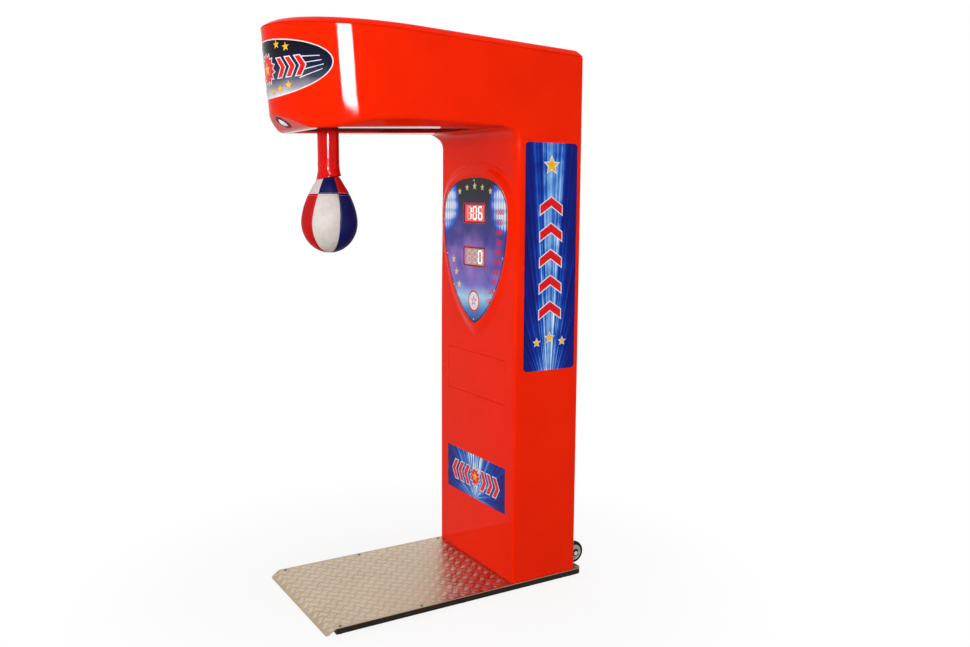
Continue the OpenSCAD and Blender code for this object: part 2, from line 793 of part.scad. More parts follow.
module sensor_disc()
    color(zinc)
        on_pivot()
            difference() {
                union() {
                    along_x(disc_x, 2, disc_r);
                    along_x(disc_x - 6, 12, shaft_r + 5);
                }
                along_x(disc_x - 7, 14, shaft_r);
                for (a = [20:20:340])
                    rotate([a, 0, 0]) translate([disc_x - 1, -2, disc_r - 12]) cube([4, 4, 9]);
            }

// Pear-shaped ball: a round lower part that runs up into a neck
ball_steps = 18;
function pear(i) = let (a = -90 + i * 90 / ball_steps) [ball_r * cos(a), ball_low * sin(a)];
function pear_up(i) = let (t = i / ball_steps)
    [ball_neck_r + (ball_r - ball_neck_r) * (1 - pow(t, 1.8)), ball_high * t];
module ball()
    color([0.85, 0.82, 0.82])
        on_pivot() translate([0, 0, -ball_drop])
            difference() {
                rotate_extrude()
                    polygon(concat([for (i = [0:ball_steps]) pear(i)], [for (i = [1:ball_steps]) pear_up(i)],
                        [[0, ball_high]]));
                sphere(core_r + 0.2);
                cylinder(ball_high + 1, r = arm_r + 0.3);
            }
module ball_core()
    color("dimgray")
        on_pivot() translate([0, 0, -ball_drop])
            difference() {
                sphere(core_r);
                translate([0, 0, core_r - 22]) cylinder(core_r, r = arm_r);
            }
sleeve_low = ball_high - 6;
sleeve_top = ball_drop - hub_r - 4;
module neck_sleeve()
    color([0.8, 0.05, 0.03])
        on_pivot() translate([0, 0, -ball_drop])
            rotate_extrude()
                polygon([[sleeve_hem_r - sleeve_t, sleeve_low], [sleeve_hem_r, sleeve_low],
                    [sleeve_hem_r - 3, sleeve_low + 30], [sleeve_top_r + 2, sleeve_low + 90],
                    [sleeve_top_r, sleeve_top - 30], [arm_r + 6, sleeve_top - 4], [arm_r, sleeve_top - 4],
                    [arm_r, sleeve_top - 14], [sleeve_top_r - sleeve_t, sleeve_top - 34],
                    [sleeve_top_r + 2 - sleeve_t, sleeve_low + 90],
                    [sleeve_hem_r - 3 - sleeve_t, sleeve_low + 30]]);

// Service door with its hinges and lock, and the inlet with its switch
hinge_y = col_rear + 6;
hinge_h = 80;
hinge_levels = [door_low + 120, (door_low + door_high) / 2, door_high - 120];
knuckle_r = 5;
hinge_pin_r = 2.5;
leaf_w = 32;
leaf_t = 1.6;
door_face = col_rear - 0.2;
vent_rows = 6;
vent_pitch = 22;
vent_down = 150;
vent_x = 75;
vent_w = 100;
vent_h = 8;
module service_door()
    color(paint_red)
        difference() {
            translate([panel_gap - door_half, col_rear - shell_t, door_low + panel_gap])
                cube([2 * (door_half - panel_gap), door_face - col_rear + shell_t,
                    door_high - door_low - 2 * panel_gap]);
            for (i = [0:vent_rows - 1], x = [-1, 1])
                translate([x * vent_x - vent_w / 2, col_rear - 2 * shell_t,
                    door_high - vent_down - vent_pitch * i])
                    cube([vent_w, 3 * shell_t, vent_h]);
            translate([lock_x, col_rear - 2 * shell_t, lock_z]) rotate([-90, 0, 0])
                cylinder(3 * shell_t, r = lock_r);
        }
module knuckle(z0, l)
    translate([-door_half, hinge_y, z0])
        difference() {
            cylinder(l, r = knuckle_r);
            translate([0, 0, -1]) cylinder(l + 2, r = hinge_pin_r + fit);
        }
third = hinge_h / 3;
module hinge_frame_leaves()
    color(zinc)
        for (z = hinge_levels)
            difference() {
                union() {
                    translate([-door_half - 6 - leaf_w, col_rear, z - hinge_h / 2])
                        cube([leaf_w, leaf_t, hinge_h]);
                    for (s = [0, 2])
                        translate([0, 0, z - hinge_h / 2 + s * third]) {
                            translate([-door_half - 7, col_rear, 0]) cube([7, leaf_t, third - 0.3]);
                            translate([-door_half - 5, col_rear, 0]) cube([4, 6, third - 0.3]);
                            knuckle(0, third - 0.3);
                        }
                }
                translate([-door_half, hinge_y, z - hinge_h]) cylinder(2 * hinge_h, r = hinge_pin_r + fit);
            }
module hinge_door_leaves()
    color(zinc)
        for (z = hinge_levels)
            difference() {
                union() {
                    translate([6 - door_half, door_face, z - hinge_h / 2]) cube([leaf_w, leaf_t, hinge_h]);
                    translate([0, 0, z - hinge_h / 2 + third]) {
                        translate([1 - door_half, door_face, 0]) cube([6, leaf_t, third - 0.3]);
                        translate([1 - door_half, door_face, 0]) cube([4, 6, third - 0.3]);
                        knuckle(0, third - 0.3);
                    }
                }
                translate([-door_half, hinge_y, z - hinge_h]) cylinder(2 * hinge_h, r = hinge_pin_r + fit);
            }
module hinge_pins()
    color(zinc)
        for (z = hinge_levels)
            translate([-door_half, hinge_y, z - hinge_h / 2]) {
                cylinder(hinge_h, r = hinge_pin_r);
                translate([0, 0, hinge_h - 0.3]) cylinder(2, r = knuckle_r - 1);
            }
lock_x = door_half - 22;
lock_z = (door_low + door_high) / 2;
lock_r = 10;
core_key_r = 6;
module door_lock_barrel()
    color(zinc)
        translate([lock_x, 0, lock_z])
            rotate([-90, 0, 0])
                difference() {
                    union() {
                        translate([0, 0, col_rear - shell_t]) cylinder(shell_t, r = lock_r);
                        translate([0, 0, door_face]) cylinder(2, r = lock_r + 4);
                    }
                    cylinder(2 * col_rear, r = core_key_r + fit);
                }
module door_lock_cam()
    color(zinc)
        translate([lock_x, col_rear - shell_t - 3.4, lock_z]) {
            rotate([-90, 0, 0])
                difference() {
                    cylinder(shell_t + 6, r = core_key_r);
                    translate([-4, -1, shell_t + 2]) cube([8, 2, 6]);
                }
            translate([-7, 0, -48]) cube([14, 3, 50]);
        }
inlet_x = 90;
inlet_z = 110;
inlet_w = 74;
inlet_h = 34;
inlet_d = 24;
inlet_lip = 4.3;
inlet_lip_t = 2;
socket_x = -30;
socket_w = 26;
socket_h = 18;
socket_d = 16;
rocker_w = 14;
rocker_h = 22;
rocker_d = 14;
module on_rocker() translate([inlet_x + rocker_dx, col_rear - 3, inlet_z]) children();
module power_inlet()
    color("black") {
        translate([inlet_x, col_rear, inlet_z])
            difference() {
                union() {
                    translate([-inlet_w / 2, 0, -inlet_h / 2]) cube([inlet_w, inlet_lip_t, inlet_h]);
                    translate([inlet_lip - inlet_w / 2, -inlet_d, inlet_lip - inlet_h / 2])
                        cube([inlet_w - 2 * inlet_lip, inlet_d, inlet_h - 2 * inlet_lip]);
                }
                translate([socket_x, -socket_d, -socket_h / 2]) cube([socket_w, inlet_d, socket_h]);
                translate([rocker_dx - rocker_w / 2 - 0.3, -rocker_d, -rocker_h / 2])
                    cube([rocker_w + 0.6, inlet_d, rocker_h]);
            }
        on_rocker() along_x(-rocker_w / 2 - 0.4, rocker_w + 0.8, rocker_pin_r);
    }
rocker_dx = 20;
rocker_tilt = 7;
rocker_pin_r = 1.5;
module rocker_switch()
    color("darkred")
        on_rocker() rotate([rocker_tilt, 0, 0])
            difference() {
                translate([-rocker_w / 2, 0, 0]) rotate([90, 0, 90]) linear_extrude(rocker_w)
                    polygon([[-7, -4], [3, -9], [6, -9.4], [5, 0], [6, 9.4], [3, 9], [-7, 4]]);
                along_x(-rocker_w, 2 * rocker_w, rocker_pin_r + fit);
            }

supply_w = 200;
supply_d = 98;
supply_h = 42;
module power_supply()
    color(zinc)
        translate([-supply_w / 2, post_y + tube + supply_d / 2, plate_top])
            cube([supply_w, supply_d, supply_h]);
// Main board on stand-offs, on a sheet that spans two cross members
sheet_w = 200;
sheet_t = 2;
board_w = 184;
board_h = 270;
board_t = 1.6;
board_up = 45;
spacer_l = 8;
spacer_r = 4;
chip_w = 24;
chip_h = 36;
module main_board()
    color([0.05, 0.35, 0.15])
        translate([0, post_y + cross_in + cross_h, cross_levels[1]]) {
            translate([-sheet_w / 2, 0, 0])
                cube([sheet_w, sheet_t, cross_levels[2] + cross_h - cross_levels[1]]);
            for (x = [-1, 1], z = [board_up + 2 * spacer_r, board_up + board_h - 2 * spacer_r])
                translate([x * (board_w / 2 - 2 * spacer_r), sheet_t, z]) rotate([-90, 0, 0])
                    cylinder(spacer_l, r = spacer_r);
            translate([-board_w / 2, sheet_t + spacer_l, board_up]) cube([board_w, board_t, board_h]);
            for (x = [-1:1], k = [0:2])
                translate([x * board_w / 3 - chip_w / 2, sheet_t + spacer_l + board_t,
                    board_up + chip_h + k * (board_h - chip_h) / 3]) cube([chip_w, spacer_l, chip_h]);
        }
loom_r = 6;
loom_bend = 30;
loom_x = post_x + tube / 2 + loom_r + 0.3;
loom_y = post_y + tube / 2;
loom_z = beam_z + tube / 2;
loom_low = plate_top + foot_t + 0.3;
loom_short = 60;
module wiring_loom()
    color("black")
        translate([-loom_x, 0, 0]) {
            translate([0, loom_y, loom_low]) cylinder(loom_z - loom_bend - loom_low, r = loom_r);
            translate([0, loom_y - loom_bend, loom_z - loom_bend]) rotate([0, -90, 0])
                rotate_extrude(angle = 90) translate([loom_bend, 0]) circle(loom_r);
            translate([0, loom_y - loom_bend, loom_z]) rotate([90, 0, 0])
                cylinder(loom_y - loom_bend + beam_front - loom_short, r = loom_r);
        }

// Transport wheels behind the column
cheek_t = 4;
cheek_half = 14;
bracket_t = 3;
bracket_h = 84;
bracket_drop = 30;
module wheel_brackets()
    color(steel_black)
        for (side = [-1, 1])
            translate([side * wheel_x, 0, 0]) {
                translate([-wheel_slot_w / 2 + 1, col_rear, wheel_z - bracket_drop])
                    cube([wheel_slot_w - 2, bracket_t, bracket_h]);
                for (c = [-1, 1])
                    difference() {
                        translate([c * (wheel_w / 2 + 1 + cheek_t / 2) - cheek_t / 2, col_rear,
                            wheel_z - cheek_half])
                            cube([cheek_t, wheel_y - col_rear + cheek_half, 2 * cheek_half]);
                        translate([c * (wheel_w / 2 + 1 + cheek_t / 2) - cheek_t, wheel_y, wheel_z])
                            rotate([0, 90, 0]) cylinder(2 * cheek_t, r = axle_r);
                    }
            }
axle_half = wheel_w / 2 + 1 + cheek_t + 1;
nut_t = 4;
module wheel_axles()
    color(zinc)
        for (side = [-1, 1])
            translate([side * wheel_x, wheel_y, wheel_z]) {
                along_x(-axle_half, 2 * axle_half, axle_r);
                along_x(-axle_half - nut_t, nut_t, axle_r + nut_t);
                along_x(axle_half, nut_t, axle_r + nut_t);
            }
hub_out = wheel_r - 14;
wheel_half = wheel_w / 2;
module tyre(side)
    color("black")
        translate([side * wheel_x, wheel_y, wheel_z]) rotate([0, 90, 0])
            rotate_extrude()
                polygon([[hub_out, -wheel_half], [wheel_r - 4, -wheel_half], [wheel_r, 4 - wheel_half],
                    [wheel_r, wheel_half - 4], [wheel_r - 4, wheel_half], [hub_out, wheel_half]]);
module hub(side)
    color([0.6, 0.6, 0.62])
        translate([side * wheel_x, wheel_y, wheel_z]) rotate([0, 90, 0])
            rotate_extrude()
                polygon([[axle_r + fit, -wheel_half], [axle_r + 6, -wheel_half], [axle_r + 8, 6 - wheel_half],
                    [hub_out - 6, 8 - wheel_half], [hub_out - 4, 2 - wheel_half], [hub_out, 2 - wheel_half],
                    [hub_out, wheel_half - 2], [hub_out - 4, wheel_half - 2], [hub_out - 6, wheel_half - 8],
                    [axle_r + 8, wheel_half - 6], [axle_r + 6, wheel_half], [axle_r + fit, wheel_half]]);
module wheel_tyre_right() tyre(1);
module wheel_tyre_left() tyre(-1);
module wheel_hub_right() hub(1);
module wheel_hub_left() hub(-1);

floor_pads();
base_frame();
tread_plate();
tread_plate_screws();
mast_frame();
mast_bolts();
body_shell();
head_lid();
lid_screws();
head_floor_panel();
well_trim();
display_panel();
display_screws();
score_display_upper();
score_display_lower();
display_board();
coin_cover();
front_decal();
side_decal_right();
side_decal_left();
head_sign();
spotlight_housing();
spotlight_lens();
speaker();
pivot_plates();
pivot_bearings();
stop_rubbers();
optical_sensor();
latch_bracket();
solenoid_coil();
hinge_frame_leaves();
hinge_pins();
power_inlet();
power_supply();
main_board();
wiring_loom();
wheel_brackets();
wheel_axles();
pivot_shaft();
swing_arm();
sensor_disc();
ball();
ball_core();
neck_sleeve();
latch_hook();
solenoid_plunger();
service_door();
hinge_door_leaves();
door_lock_barrel();
door_lock_cam();
rocker_switch();
wheel_tyre_right();
wheel_hub_right();
wheel_tyre_left();
wheel_hub_left();
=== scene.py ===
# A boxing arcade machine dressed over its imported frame: +X is the player's right, +Y the rear, +Z up.
import math
import bmesh
import bpy
import numpy as np
from mathutils import Matrix


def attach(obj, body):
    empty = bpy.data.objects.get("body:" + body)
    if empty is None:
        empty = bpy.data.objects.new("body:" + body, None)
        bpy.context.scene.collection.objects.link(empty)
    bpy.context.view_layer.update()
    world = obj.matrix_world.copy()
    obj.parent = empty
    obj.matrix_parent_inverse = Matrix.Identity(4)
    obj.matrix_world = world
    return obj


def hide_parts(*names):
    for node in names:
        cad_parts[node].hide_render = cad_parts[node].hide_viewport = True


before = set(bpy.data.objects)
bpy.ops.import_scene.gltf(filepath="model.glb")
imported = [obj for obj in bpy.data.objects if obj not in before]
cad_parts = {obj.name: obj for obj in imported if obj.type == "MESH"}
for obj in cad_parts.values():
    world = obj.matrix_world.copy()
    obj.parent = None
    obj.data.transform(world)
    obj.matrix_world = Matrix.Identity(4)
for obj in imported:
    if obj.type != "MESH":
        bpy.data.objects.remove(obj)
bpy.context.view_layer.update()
mm = 0.001
print("frame loaded:", len(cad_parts), "nodes")


def linearColour(hexText):  # sRGB hex to linear light
    parts = [int(hexText[i:i + 2], 16) / 255 for i in (1, 3, 5)]
    return tuple(p / 12.92 if p <= 0.04045 else ((p + 0.055) / 1.055) ** 2.4 for p in parts) + (1.0,)


# Adds one node; a value that is a socket is linked, a tuple's length has to fit the socket. The stops of a
# colour ramp are (place, hex colour).
def addNode(tree, kind, inputs=None, stops=(), **settings):
    new = tree.nodes.new("ShaderNode" + kind)
    for key, value in settings.items():
        setattr(new, key, value)
    while stops and len(new.color_ramp.elements) < len(stops):
        new.color_ramp.elements.new(0.5)
    for k, (place, colour) in enumerate(stops):
        new.color_ramp.elements[k].position = place
        new.color_ramp.elements[k].color = linearColour(colour)
    for key, value in (inputs or {}).items():
        if isinstance(value, bpy.types.NodeSocket):
            tree.links.new(value, new.inputs[key])
        else:
            new.inputs[key].default_value = value
    return new


# A new material, its node tree, its shader and the place on the object that its patterns read; constants
# go straight to the shader's sockets
def newMaterial(name, **sockets):
    made = bpy.data.materials.new(name)
    made.use_nodes = True
    shader = made.node_tree.nodes["Principled BSDF"]
    for key, value in sockets.items():
        shader.inputs[key.replace("_", " ")].default_value = value
    place = addNode(made.node_tree, "TexCoord").outputs["Object"]
    return made, made.node_tree, shader, place


# A surface in two tones mixed by noise, with a roughness that follows the noise and a fine grain as bump
# where they are given. patch and grain are in mm, as is the bump's depth after its strength; reach says
# where on the noise each tone is full.
def tonedMaterial(name, tones, patch, reach=(0.3, 0.7), detail=2.0, rough=None, grain=None, grainDetail=2.0,
                  bump=(0.1, 0.3), **sockets):
    made, tree, shader, place = newMaterial(name, **sockets)
    cloud = addNode(tree, "TexNoise", {"Vector": place, "Scale": 1 / (patch * mm),
                                       "Detail": detail}).outputs["Fac"]
    colour = addNode(tree, "ValToRGB", {"Fac": cloud}, stops=list(zip(reach, tones)))
    tree.links.new(colour.outputs["Color"], shader.inputs["Base Color"])
    if rough:
        spread = addNode(tree, "MapRange", {"Value": cloud, "From Min": 0.3, "From Max": 0.7,
                                            "To Min": rough[0], "To Max": rough[1]})
        tree.links.new(spread.outputs[0], shader.inputs["Roughness"])
    if grain:
        fine = addNode(tree, "TexNoise", {"Vector": place, "Scale": 1 / (grain * mm), "Detail": grainDetail})
        relief = addNode(tree, "Bump", {"Height": fine.outputs["Fac"], "Strength": bump[0],
                                        "Distance": bump[1] * mm})
        tree.links.new(relief.outputs["Normal"], shader.inputs["Normal"])
    return made


# A mesh of given points (m) and faces, as one piece that rides on a body
def meshPiece(name, verts, faces, material, body="cabinet", smooth=True):
    mesh = bpy.data.meshes.new(name)
    mesh.from_pydata(np.asarray(verts).tolist(), [], [list(f) for f in faces])
    mesh.validate()
    piece = bpy.data.objects.new(name, mesh)
    bpy.context.scene.collection.objects.link(piece)
    mesh.materials.append(material)
    mesh.polygons.foreach_set("use_smooth", [smooth] * len(mesh.polygons))
    if body:
        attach(piece, body)
    return piece


# One attribute of a mesh's points, corners or faces as an array
def readArray(items, key, width=1, kind=float):
    values = np.empty(len(items) * width, dtype=kind)
    items.foreach_get(key, values)
    return values.reshape(-1, width) if width > 1 else values


# A mesh's points and faces; the mesh goes
def takeMesh(mesh):
    verts = readArray(mesh.vertices, "co", 3)
    faces = [list(face.vertices) for face in mesh.polygons]
    bpy.data.meshes.remove(mesh)
    return verts, faces


# Turns each face of a closed mesh outwards
def faceOutwards(piece):
    form = bmesh.new()
    form.from_mesh(piece.data)
    bmesh.ops.recalc_face_normals(form, faces=form.faces[:])
    form.to_mesh(piece.data)
    form.free()


# Quads between the rows of a grid of n by m points, which may close on itself either way
def gridFaces(n, m, closeRows=False, closeColumns=False):
    i, j = np.meshgrid(np.arange(n if closeRows else n - 1), np.arange(m if closeColumns else m - 1),
                       indexing="ij")
    i, j = i.ravel(), j.ravel()
    a, b = (i + 1) % n, (j + 1) % m
    return np.stack([i * m + j, a * m + j, a * m + b, i * m + b], axis=1)


# Puts the modifiers' result in the mesh
def applyModifiers(piece):
    graph = bpy.context.evaluated_depsgraph_get()
    graph.update()
    done = bpy.data.meshes.new_from_object(piece.evaluated_get(graph))
    piece.modifiers.clear()
    piece.data = done


# Camera: solved from the photograph's straight edges, in metres and degrees
cameraView = dict(place=(3.3241, -1.7350, 1.5874), yaw=58.7256, pitch=7.6632, roll=0.3198, lens=34.196,
                  sensor=36.0)  # lens and sensor in mm


# Looks along the direction that yaw and pitch give, then rolls about it
def placeCamera():
    yaw, pitch, roll = (math.radians(cameraView[k]) for k in ("yaw", "pitch", "roll"))
    ahead = np.array([-math.sin(yaw) * math.cos(pitch), math.cos(yaw) * math.cos(pitch), -math.sin(pitch)])
    right = np.array([math.cos(yaw), math.sin(yaw), 0.0])
    up = np.cross(right, ahead)
    right, up = (math.cos(roll) * right + math.sin(roll) * up, math.cos(roll) * up - math.sin(roll) * right)
    data = bpy.data.cameras.new("photoCamera")
    data.lens = cameraView["lens"]
    data.sensor_width = cameraView["sensor"]
    camera = bpy.data.objects.new("photoCamera", data)
    bpy.context.scene.collection.objects.link(camera)
    turn = Matrix(np.stack([right, up, -ahead], axis=1).tolist()).to_4x4()
    camera.matrix_world = Matrix.Translation(cameraView["place"]) @ turn
    bpy.context.scene.camera = camera


# name: (place, aims at, width, height, watts, seen by): one lamp only makes the streak on the gloss
softLamps = {
    "keyLamp": ((4.0, -2.4, 1.95), (0.1, -0.1, 1.45), 1.3, 1.1, 145.0, "diffuse"),
    "streakLamp": ((4.28, -2.43, 2.62), (0.2, -0.15, 1.5), 1.02, 1.2, 1500.0, "glossy"),
    "frontLamp": ((-0.6, -5.2, 2.2), (0.0, 0.0, 1.2), 2.4, 2.4, 90.0, "diffuse"),
    "leftLamp": ((-4.4, 0.9, 2.2), (0.0, 0.2, 1.0), 2.2, 2.6, 70.0, "diffuse"),
    "rearLamp": ((1.2, 4.8, 2.4), (0.0, 0.3, 1.1), 2.4, 2.4, 90.0, "diffuse"),
    "topLamp": ((0.2, 0.3, 5.0), (0.0, 0.0, 2.2), 2.6, 2.6, 42.0, "diffuse"),
}


# Square soft lamps, each turned to its target
def placeLamps():
    for name, (place, target, width, height, watts, rays) in softLamps.items():
        data = bpy.data.lights.new(name, "AREA")
        data.shape = "RECTANGLE"
        data.size, data.size_y, data.energy = width, height, watts
        lamp = bpy.data.objects.new(name, data)
        bpy.context.scene.collection.objects.link(lamp)
        lamp.visible_glossy = rays == "glossy"
        lamp.visible_diffuse = rays == "diffuse"
        away = np.array(place) - np.array(target)
        away /= np.linalg.norm(away)
        side = np.cross([0, 0, 1], away)
        side /= np.linalg.norm(side)
        turn = Matrix(np.stack([side, np.cross(away, side), away], axis=1).tolist()).to_4x4()
        lamp.matrix_world = Matrix.Translation(place) @ turn


backdrop = dict(floorHalf=14.0, floorLow=-0.0005, paper="#F4F4F2", bounce="#9A9894", white="#FFFFFF",
                horizonLight=0.5, overheadLight=0.1, shadowNear=0.5, shadowFar=1.5, glowNear=0.84)


# White for the camera and in mirrors and glass; as a light it is dimmer, most of all overhead. The floor
# keeps the shadow near the machine and glows white further off.
def placeBackdrop():
    b = backdrop
    world = bpy.data.worlds.new("studio")
    bpy.context.scene.world = world
    world.use_nodes = True
    tree = world.node_tree
    tree.nodes.clear()
    path = addNode(tree, "LightPath")
    mirror = addNode(tree, "Math", {0: path.outputs["Is Glossy Ray"], 1: path.outputs["Is Transmission Ray"]},
                     operation="MAXIMUM")
    seen = addNode(tree, "Math", {0: path.outputs["Is Camera Ray"], 1: mirror.outputs[0]}, operation="MAXIMUM")
    sky = addNode(tree, "TexCoord").outputs["Generated"]
    height = addNode(tree, "SeparateXYZ", {"Vector": sky}).outputs["Z"]
    fall = addNode(tree, "MapRange", {"Value": height, "From Max": 0.9, "To Min": b["horizonLight"],
                                      "To Max": b["overheadLight"]}).outputs[0]
    dim = addNode(tree, "Background", {"Color": linearColour(b["white"]), "Strength": fall})
    white = addNode(tree, "Background", {"Color": linearColour(b["white"]), "Strength": 1.0})
    mix = addNode(tree, "MixShader", {0: seen.outputs[0], 1: dim.outputs[0], 2: white.outputs[0]})
    addNode(tree, "OutputWorld", {"Surface": mix.outputs[0]})
    made, tree, shader, place = newMaterial("whitePaperFloor", Roughness=0.9)
    path = addNode(tree, "LightPath")
    paper = addNode(tree, "Mix", {"Factor": path.outputs["Is Diffuse Ray"]}, data_type="RGBA")
    paper.inputs["A"].default_value = linearColour(b["paper"])
    paper.inputs["B"].default_value = linearColour(b["bounce"])
    tree.links.new(paper.outputs["Result"], shader.inputs["Base Color"])
    glow = addNode(tree, "Emission", {"Color": linearColour(b["white"]), "Strength": 1.0})
    reach = addNode(tree, "VectorMath", {0: place}, operation="LENGTH").outputs["Value"]
    far = addNode(tree, "MapRange", {"Value": reach, "From Min": b["shadowNear"], "From Max": b["shadowFar"],
                                     "To Min": b["glowNear"], "To Max": 1.0})
    mix = addNode(tree, "MixShader", {0: far.outputs[0], 1: shader.outputs[0], 2: glow.outputs[0]})
    seen = addNode(tree, "Math", {0: path.outputs["Is Camera Ray"], 1: path.outputs["Is Glossy Ray"]},
                   operation="MAXIMUM")
    both = addNode(tree, "MixShader", {0: seen.outputs[0], 1: shader.outputs[0], 2: mix.outputs[0]})
    tree.links.new(both.outputs[0], tree.nodes["Material Output"].inputs["Surface"])
    half, low = b["floorHalf"], b["floorLow"]
    corners = [[-half, -half, low], [half, -half, low], [half, half, low], [-half, half, low]]
    floor = meshPiece("paperFloor", corners, [[0, 1, 2, 3]], made, body=None)


placeCamera()
placeLamps()
placeBackdrop()
bpy.context.scene.view_settings.view_transform = "Standard"
print("camera, lamps and backdrop placed")


# Lacquered polyester gelcoat, rolled into a mould: deep red, mirror gloss, a trace of orange peel
gelcoat = dict(tones=("#EF2000", "#F42400"), patch=180.0, grain=2.5, grainDetail=1.0, bump=(0.03, 0.4),
               Roughness=0.045, Specular_IOR_Level=0.035)
redGelcoat = tonedMaterial("redGelcoat", **gelcoat)

# Moulded body of column and head, in mm and degrees
bodyForm = dict(
    half=308.0, noseFront=-650.0, noseDepth=450.0, lean=4.7,  # plan: half an ellipse with straight sides
    seamRear=2148.0, seamSlope=2.3, rear=550.0, front=238.0, low=27.0,
    chinY=-542.0, chinZ=1835.0, chinAngle=33.0, spotUp=50.0, underSlope=2.35, neck=65.0,
    bevelRise=50.0, bevelAngle=28.0, bevelFall=1.3, bevelEnd=165.0, bevelRun=30.0,
    edgeLow=9.0, edgeHigh=26.0, edgeHead=10.0, rearEdge=12.0, chinEdge=9.0, bevelEdge=5.0,
    edgeRise=(1000, 1750), headRise=(1790, 1850), headRun=(-236, -206), bevelSink=12.0,
    wall=5.0, seamGap=0.7)


# 0 below low, 1 above high, 3t^2 - 2t^3 between them
def smoothStep(value, low, high):
    t = np.clip((value - low) / (high - low), 0, 1)
    return t * t * (3 - 2 * t)


# The greater of two distances, with an edge of radius r where both are near nought
def roundMax(a, b, r):
    return np.minimum(np.maximum(a, b), -r) + np.hypot(np.maximum(a + r, 0), np.maximum(b + r, 0))


# Height of the seam between body and lid
def seamHeight(y):
    return bodyForm["seamRear"] + (bodyForm["rear"] - y) * math.tan(math.radians(bodyForm["seamSlope"]))


# Distance to the leaning wall: an elliptic nose with straight sides behind it
def wallDistance(x, y, z):
    b = bodyForm
    lean = math.radians(b["lean"])
    along = (y - b["noseFront"]) * math.cos(lean) + (z - seamHeight(b["noseFront"])) * math.sin(lean)
    v = np.minimum(along - b["noseDepth"], 0) / b["noseDepth"]
    u = x / b["half"]
    slope = 2 * np.hypot(u / b["half"], v / b["noseDepth"])
    return (u * u + v * v - 1) / np.maximum(slope, 1e-5)


# Signed distance to the body in mm: chin, underside, neck and column front, cut by the side bevels,
# inside the wall and in front of the rear face
def bodyDistance(x, y, z):
    b = bodyForm
    x = np.abs(x)
    under, chin = math.radians(b["underSlope"]), math.radians(b["chinAngle"])
    back, up = y - b["chinY"], z - b["chinZ"]
    head = roundMax(back * math.sin(under) - up * math.cos(under),
                    -back * math.sin(chin) - up * math.cos(chin), b["chinEdge"])
    lower = -roundMax(-head, y - b["front"], b["neck"])
    fall, tilt = math.tan(math.radians(b["bevelFall"])), math.tan(math.radians(b["bevelAngle"]))
    bevel = tilt * (x - b["half"]) - fall * back - (up - b["bevelRise"])
    bevel = bevel / math.sqrt(1 + tilt * tilt + fall * fall)
    bevel = bevel - b["bevelSink"] * (np.clip(y - b["bevelEnd"], 0, None) / b["bevelRun"]) ** 6
    lower = roundMax(lower, bevel, b["bevelEdge"])
    edge = b["edgeLow"] + (b["edgeHigh"] - b["edgeLow"]) * smoothStep(z, *b["edgeRise"])
    inHead = smoothStep(z, *b["headRise"]) * smoothStep(-y, *b["headRun"])
    edge = edge + (b["edgeHead"] - b["edgeHigh"]) * inHead
    body = roundMax(lower, wallDistance(x, y, z), edge)
    return roundMax(body, y - b["rear"], b["rearEdge"])


# Slope of a distance along x, y and z, by central differences
def gradientOf(distance, points):
    step, columns = 0.02, []
    for axis in range(3):
        shift = np.zeros(3)
        shift[axis] = step
        columns.append((distance(*(points + shift).T) - distance(*(points - shift).T)) / (2 * step))
    return np.stack(columns, axis=1)


# Surface nets: one point in each cell of a grid that the surface passes through, at the mean of the
# places where it cuts the cell's edges, one quad round each cut edge, and then each point is moved
# down the gradient on to the surface
def netSurface(distance, lines):
    value = distance(*np.meshgrid(*lines, indexing="ij"))
    cells = np.array(value.shape) - 1
    total, count, quads = np.zeros((cells.prod(), 3)), np.zeros(cells.prod()), []
    for axis in range(3):
        low = np.take(value, range(value.shape[axis] - 1), axis)
        high = np.take(value, range(1, value.shape[axis]), axis)
        at = np.argwhere((low < 0) != (high < 0))
        a, b, c = axis, (axis + 1) % 3, (axis + 2) % 3
        keep = (at[:, b] > 0) & (at[:, b] < cells[b]) & (at[:, c] > 0) & (at[:, c] < cells[c])
        at = at[keep]
        lowValue, highValue = low[tuple(at.T)], high[tuple(at.T)]
        place = np.stack([lines[k][at[:, k]] for k in range(3)], axis=1)
        place[:, a] += lowValue / (lowValue - highValue) * (lines[a][at[:, a] + 1] - lines[a][at[:, a]])
        corners = []
        for stepB, stepC in ((0, 0), (1, 0), (1, 1), (0, 1)):
            cell = at.copy()
            cell[:, b] -= stepB
            cell[:, c] -= stepC
            flat = np.ravel_multi_index(cell.T, cells)
            np.add.at(total, flat, place)
            np.add.at(count, flat, 1)
            corners.append(flat)
        quad = np.stack(corners, axis=1)
        quad[lowValue > 0] = quad[lowValue > 0][:, ::-1]
        quads.append(quad)
    quads = np.concatenate(quads)
    used, index = np.unique(quads, return_inverse=True)
    points = total[used] / count[used][:, None]
    for _ in range(8):
        slope = gradientOf(distance, points)
        move = (distance(*points.T) / np.maximum((slope ** 2).sum(1), 1e-6))[:, None] * slope
        points -= np.clip(move, -6, 6)
    return points, index.reshape(quads.shape)


# Grid lines with a given step in each stretch: (start, step), (start, step) ... end
def gridLines(stretches, end):
    parts = []
    for (start, step), stop in zip(stretches, [s[0] for s in stretches[1:]] + [end]):
        parts.append(np.linspace(start, stop, max(round((stop - start) / step), 1), endpoint=False))
    return np.concatenate(parts + [[end]])


